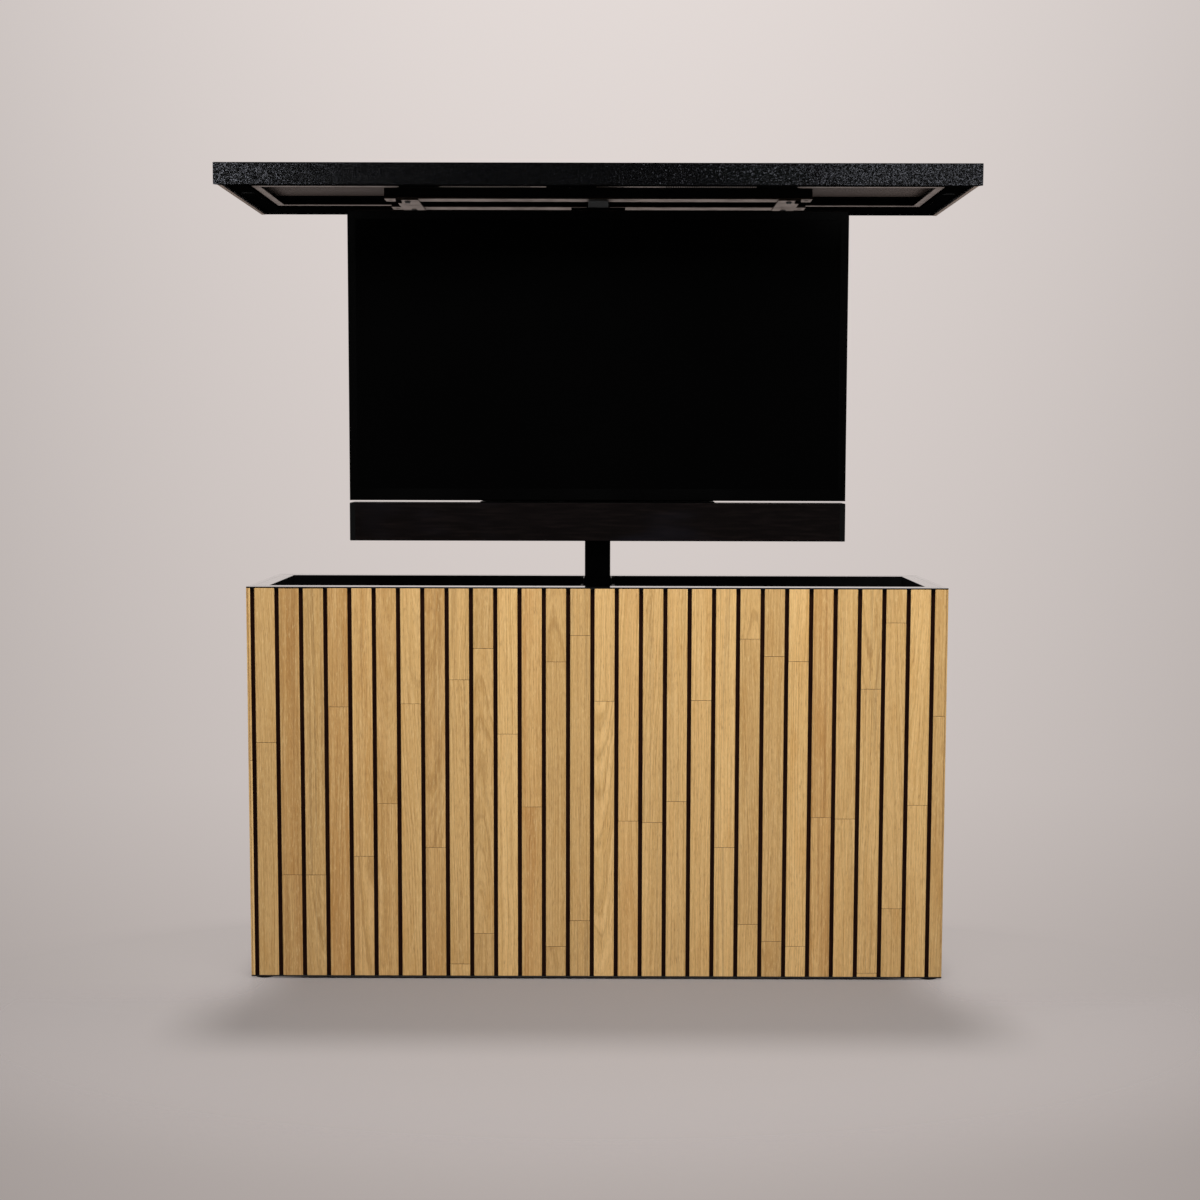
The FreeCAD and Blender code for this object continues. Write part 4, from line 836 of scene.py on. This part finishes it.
def make_recess_shade_skins():
    """Painted shade: black skins on the recess's walls and a black strip on the board along the
    rear one.
    """
    low, high = box("recess_trim")
    board_low, _ = box("underside_panel")
    top, foot = board_low.z, low.z + TRIM_WALL
    inner_x, inner_y, skin = high.x - TRIM_WALL, high.y - TRIM_WALL, 0.5
    # Painted shade: thin black skins over the recess's walls, which lie in shade under the lid
    shade_skins = [block((-inner_x, y - skin, foot), (inner_x, y + skin, top), 0)
              for y in (-inner_y, inner_y)]
    shade_skins += pair((inner_x - skin, skin - inner_y, foot), (inner_x + skin, inner_y - skin, top), 0)
    add_piece("recess_shade_skins", shade_skins, STEEL_COAT, "lift_carriage")
    # Painted shade: a black strip on the board along the rear wall, where shade falls
    shade_strip = block((2 - inner_x, inner_y - 26, top - 4), (inner_x - 2, inner_y - 0.4, top + 0.1), 1)
    add_piece("recess_shade_strip", [shade_strip], MATTE, "lift_carriage")


# ---------------------------------------------------------------------------
# Studio
# ---------------------------------------------------------------------------
FLOOR_COLOUR = paint(143, 137, 135)
# The backdrop is one warm grey that gets lighter with the rise of the line of sight
BACKDROP = ((-0.4, 178), (-0.25, 195), (-0.18, 206), (0.25, 227))
AMBIENT = 0.22
FRONT_GLOSS = 0.006
# How fast the backdrop darkens to the sides, and the most of it that the camera sees
SIDE_SHADE, SEEN_SHADE = 2.0, 0.24
FRAME_PIXELS = 1200
FOCAL_PIXELS = 1800.3
SENSOR_WIDTH = 36.0
CAMERA_AT = (0.0176, -4.0927, 1.1714)
PITCH, YAW, ROLL = (math.radians(angle) for angle in (4.855, -0.165, 0.131))


def lamp(name, kind, at, towards, power, size, shine=True):
    """A softbox of a width and a height in metres, or a far lamp with a size in degrees."""
    light = bpy.data.lights.new(name, kind)
    light.energy = power
    if kind == "AREA":
        light.shape = "RECTANGLE"
        light.size, light.size_y = size
    else:
        light.angle = math.radians(size)
    holder = bpy.data.objects.new(name, light)
    bpy.context.scene.collection.objects.link(holder)
    holder.location = at
    holder.rotation_euler = (Vector(towards) - Vector(at)).to_track_quat("-Z", "Y").to_euler()
    holder.visible_glossy = shine


def make_lights():
    lamp("overhead_lamp", "SUN", (0, 1.02, 5), (0, 0, 0), 1.9, 6.5, shine=False)
    lamp("front_softbox", "AREA", (0.3, -1.7, 3.2), (0.1, -0.2, 0.6), 122, (2.4, 0.8), shine=False)
    lamp("front_fill", "AREA", (0, -4.8, 1.6), (0, 0, 1.0), 30, (5.0, 3.0), shine=False)
    lamp("rear_fill", "AREA", (0, 4.6, 2.6), (0, 0, 0.9), 60, (5.0, 2.0), shine=False)
    lamp("left_softbox", "AREA", (-1.66, -4.2, 2.4), (-0.8, -0.27, 1.74), 0.66, (0.5, 0.3))
    lamp("right_softbox", "AREA", (1.55, -4.2, 2.41), (0.7, -0.27, 1.74), 0.68, (1.1, 0.3))


def make_world():
    """A pale backdrop for the camera and for gloss from behind, plain grey light for the rest."""
    world = bpy.data.worlds.new("studio")
    bpy.context.scene.world = world
    world.use_nodes = True
    world.node_tree.nodes.clear()
    sky = Nodes(world.node_tree)
    direction = sky.add("TexCoord", output="Generated")
    stops = [(rise + 0.5, paint(tone, tone - 9, tone - 12.5)) for rise, tone in BACKDROP]
    backdrop = sky.add("ValToRGB", {"stops": stops}, {0: direction.axis("Z") + 0.5})
    aside = direction.axis("X") ** 2.0 * SIDE_SHADE
    gloss = sky.mix(grey(FRONT_GLOSS), sky.mix(backdrop, grey(0), aside),
                    direction.axis("Y").ramp(-0.25, 0.3))
    backdrop = sky.mix(backdrop, grey(0), aside.math("MINIMUM", SEEN_SHADE))
    camera, through, shine = (sky.add("LightPath", output=name) for name in (
        "Is Camera Ray", "Is Transmission Ray", "Is Glossy Ray"))
    colour = sky.layers(grey(AMBIENT), (gloss, shine), (backdrop, camera.math("MAXIMUM", through)))
    light = sky.add("Background", None, {"Color": colour})
    sky.add("OutputWorld", None, {"Surface": light})


def make_floor():
    """A pale floor that fades into the backdrop away from the cabinet and, sooner, beside it."""
    disc = bmesh.new()
    bmesh.ops.create_circle(disc, cap_ends=True, segments=96, radius=5.0)
    paper = Finish("floor_paper", {"Roughness": 0.9, "Base Color": FLOOR_COLOUR,
                                   "Specular IOR Level": 0.1})
    where = paper.place()
    aside, forward = where.axis("X") * 0.55, where.axis("Y") + 0.45
    spread = (aside * aside + forward * forward) ** 0.5
    beside = (where.axis("X") ** 2.0).ramp(0.38, 0.68) * where.axis("Y").ramp(-0.5, -0.22)
    faded = paper.add("MixShader", None, {
        0: spread.ramp(0.45, 0.95).math("MAXIMUM", beside * 0.85),
        1: Value(paper, paper.shader.outputs[0]), 2: paper.add("BsdfTransparent")})
    paper.plug(paper.tree.nodes["Material Output"].inputs["Surface"], faded)
    piece("studio_floor", [disc], paper.material)


def make_camera():
    lens = bpy.data.cameras.new("camera")
    lens.sensor_width = SENSOR_WIDTH
    lens.lens = SENSOR_WIDTH * FOCAL_PIXELS / FRAME_PIXELS
    lens.clip_start, lens.clip_end = 0.05, 60
    camera = bpy.data.objects.new("camera", lens)
    bpy.context.scene.collection.objects.link(camera)
    ahead = Vector((math.sin(YAW) * math.cos(PITCH), math.cos(YAW) * math.cos(PITCH),
                    -math.sin(PITCH)))
    right = Vector((math.cos(YAW), -math.sin(YAW), 0))
    above = right.cross(ahead)
    right, above = (right * math.cos(ROLL) + above * math.sin(ROLL),
                    above * math.cos(ROLL) - right * math.sin(ROLL))
    turn = Matrix((right, above, -ahead)).transposed()
    camera.matrix_world = Matrix.Translation(CAMERA_AT) @ turn.to_4x4()
    bpy.context.scene.camera = camera


make_camera()
make_cladding()
make_frame()
make_column()
make_bracket()
make_television()
make_lid()
make_world()
make_floor()
make_lights()
bpy.context.scene.view_settings.view_transform = "Standard"
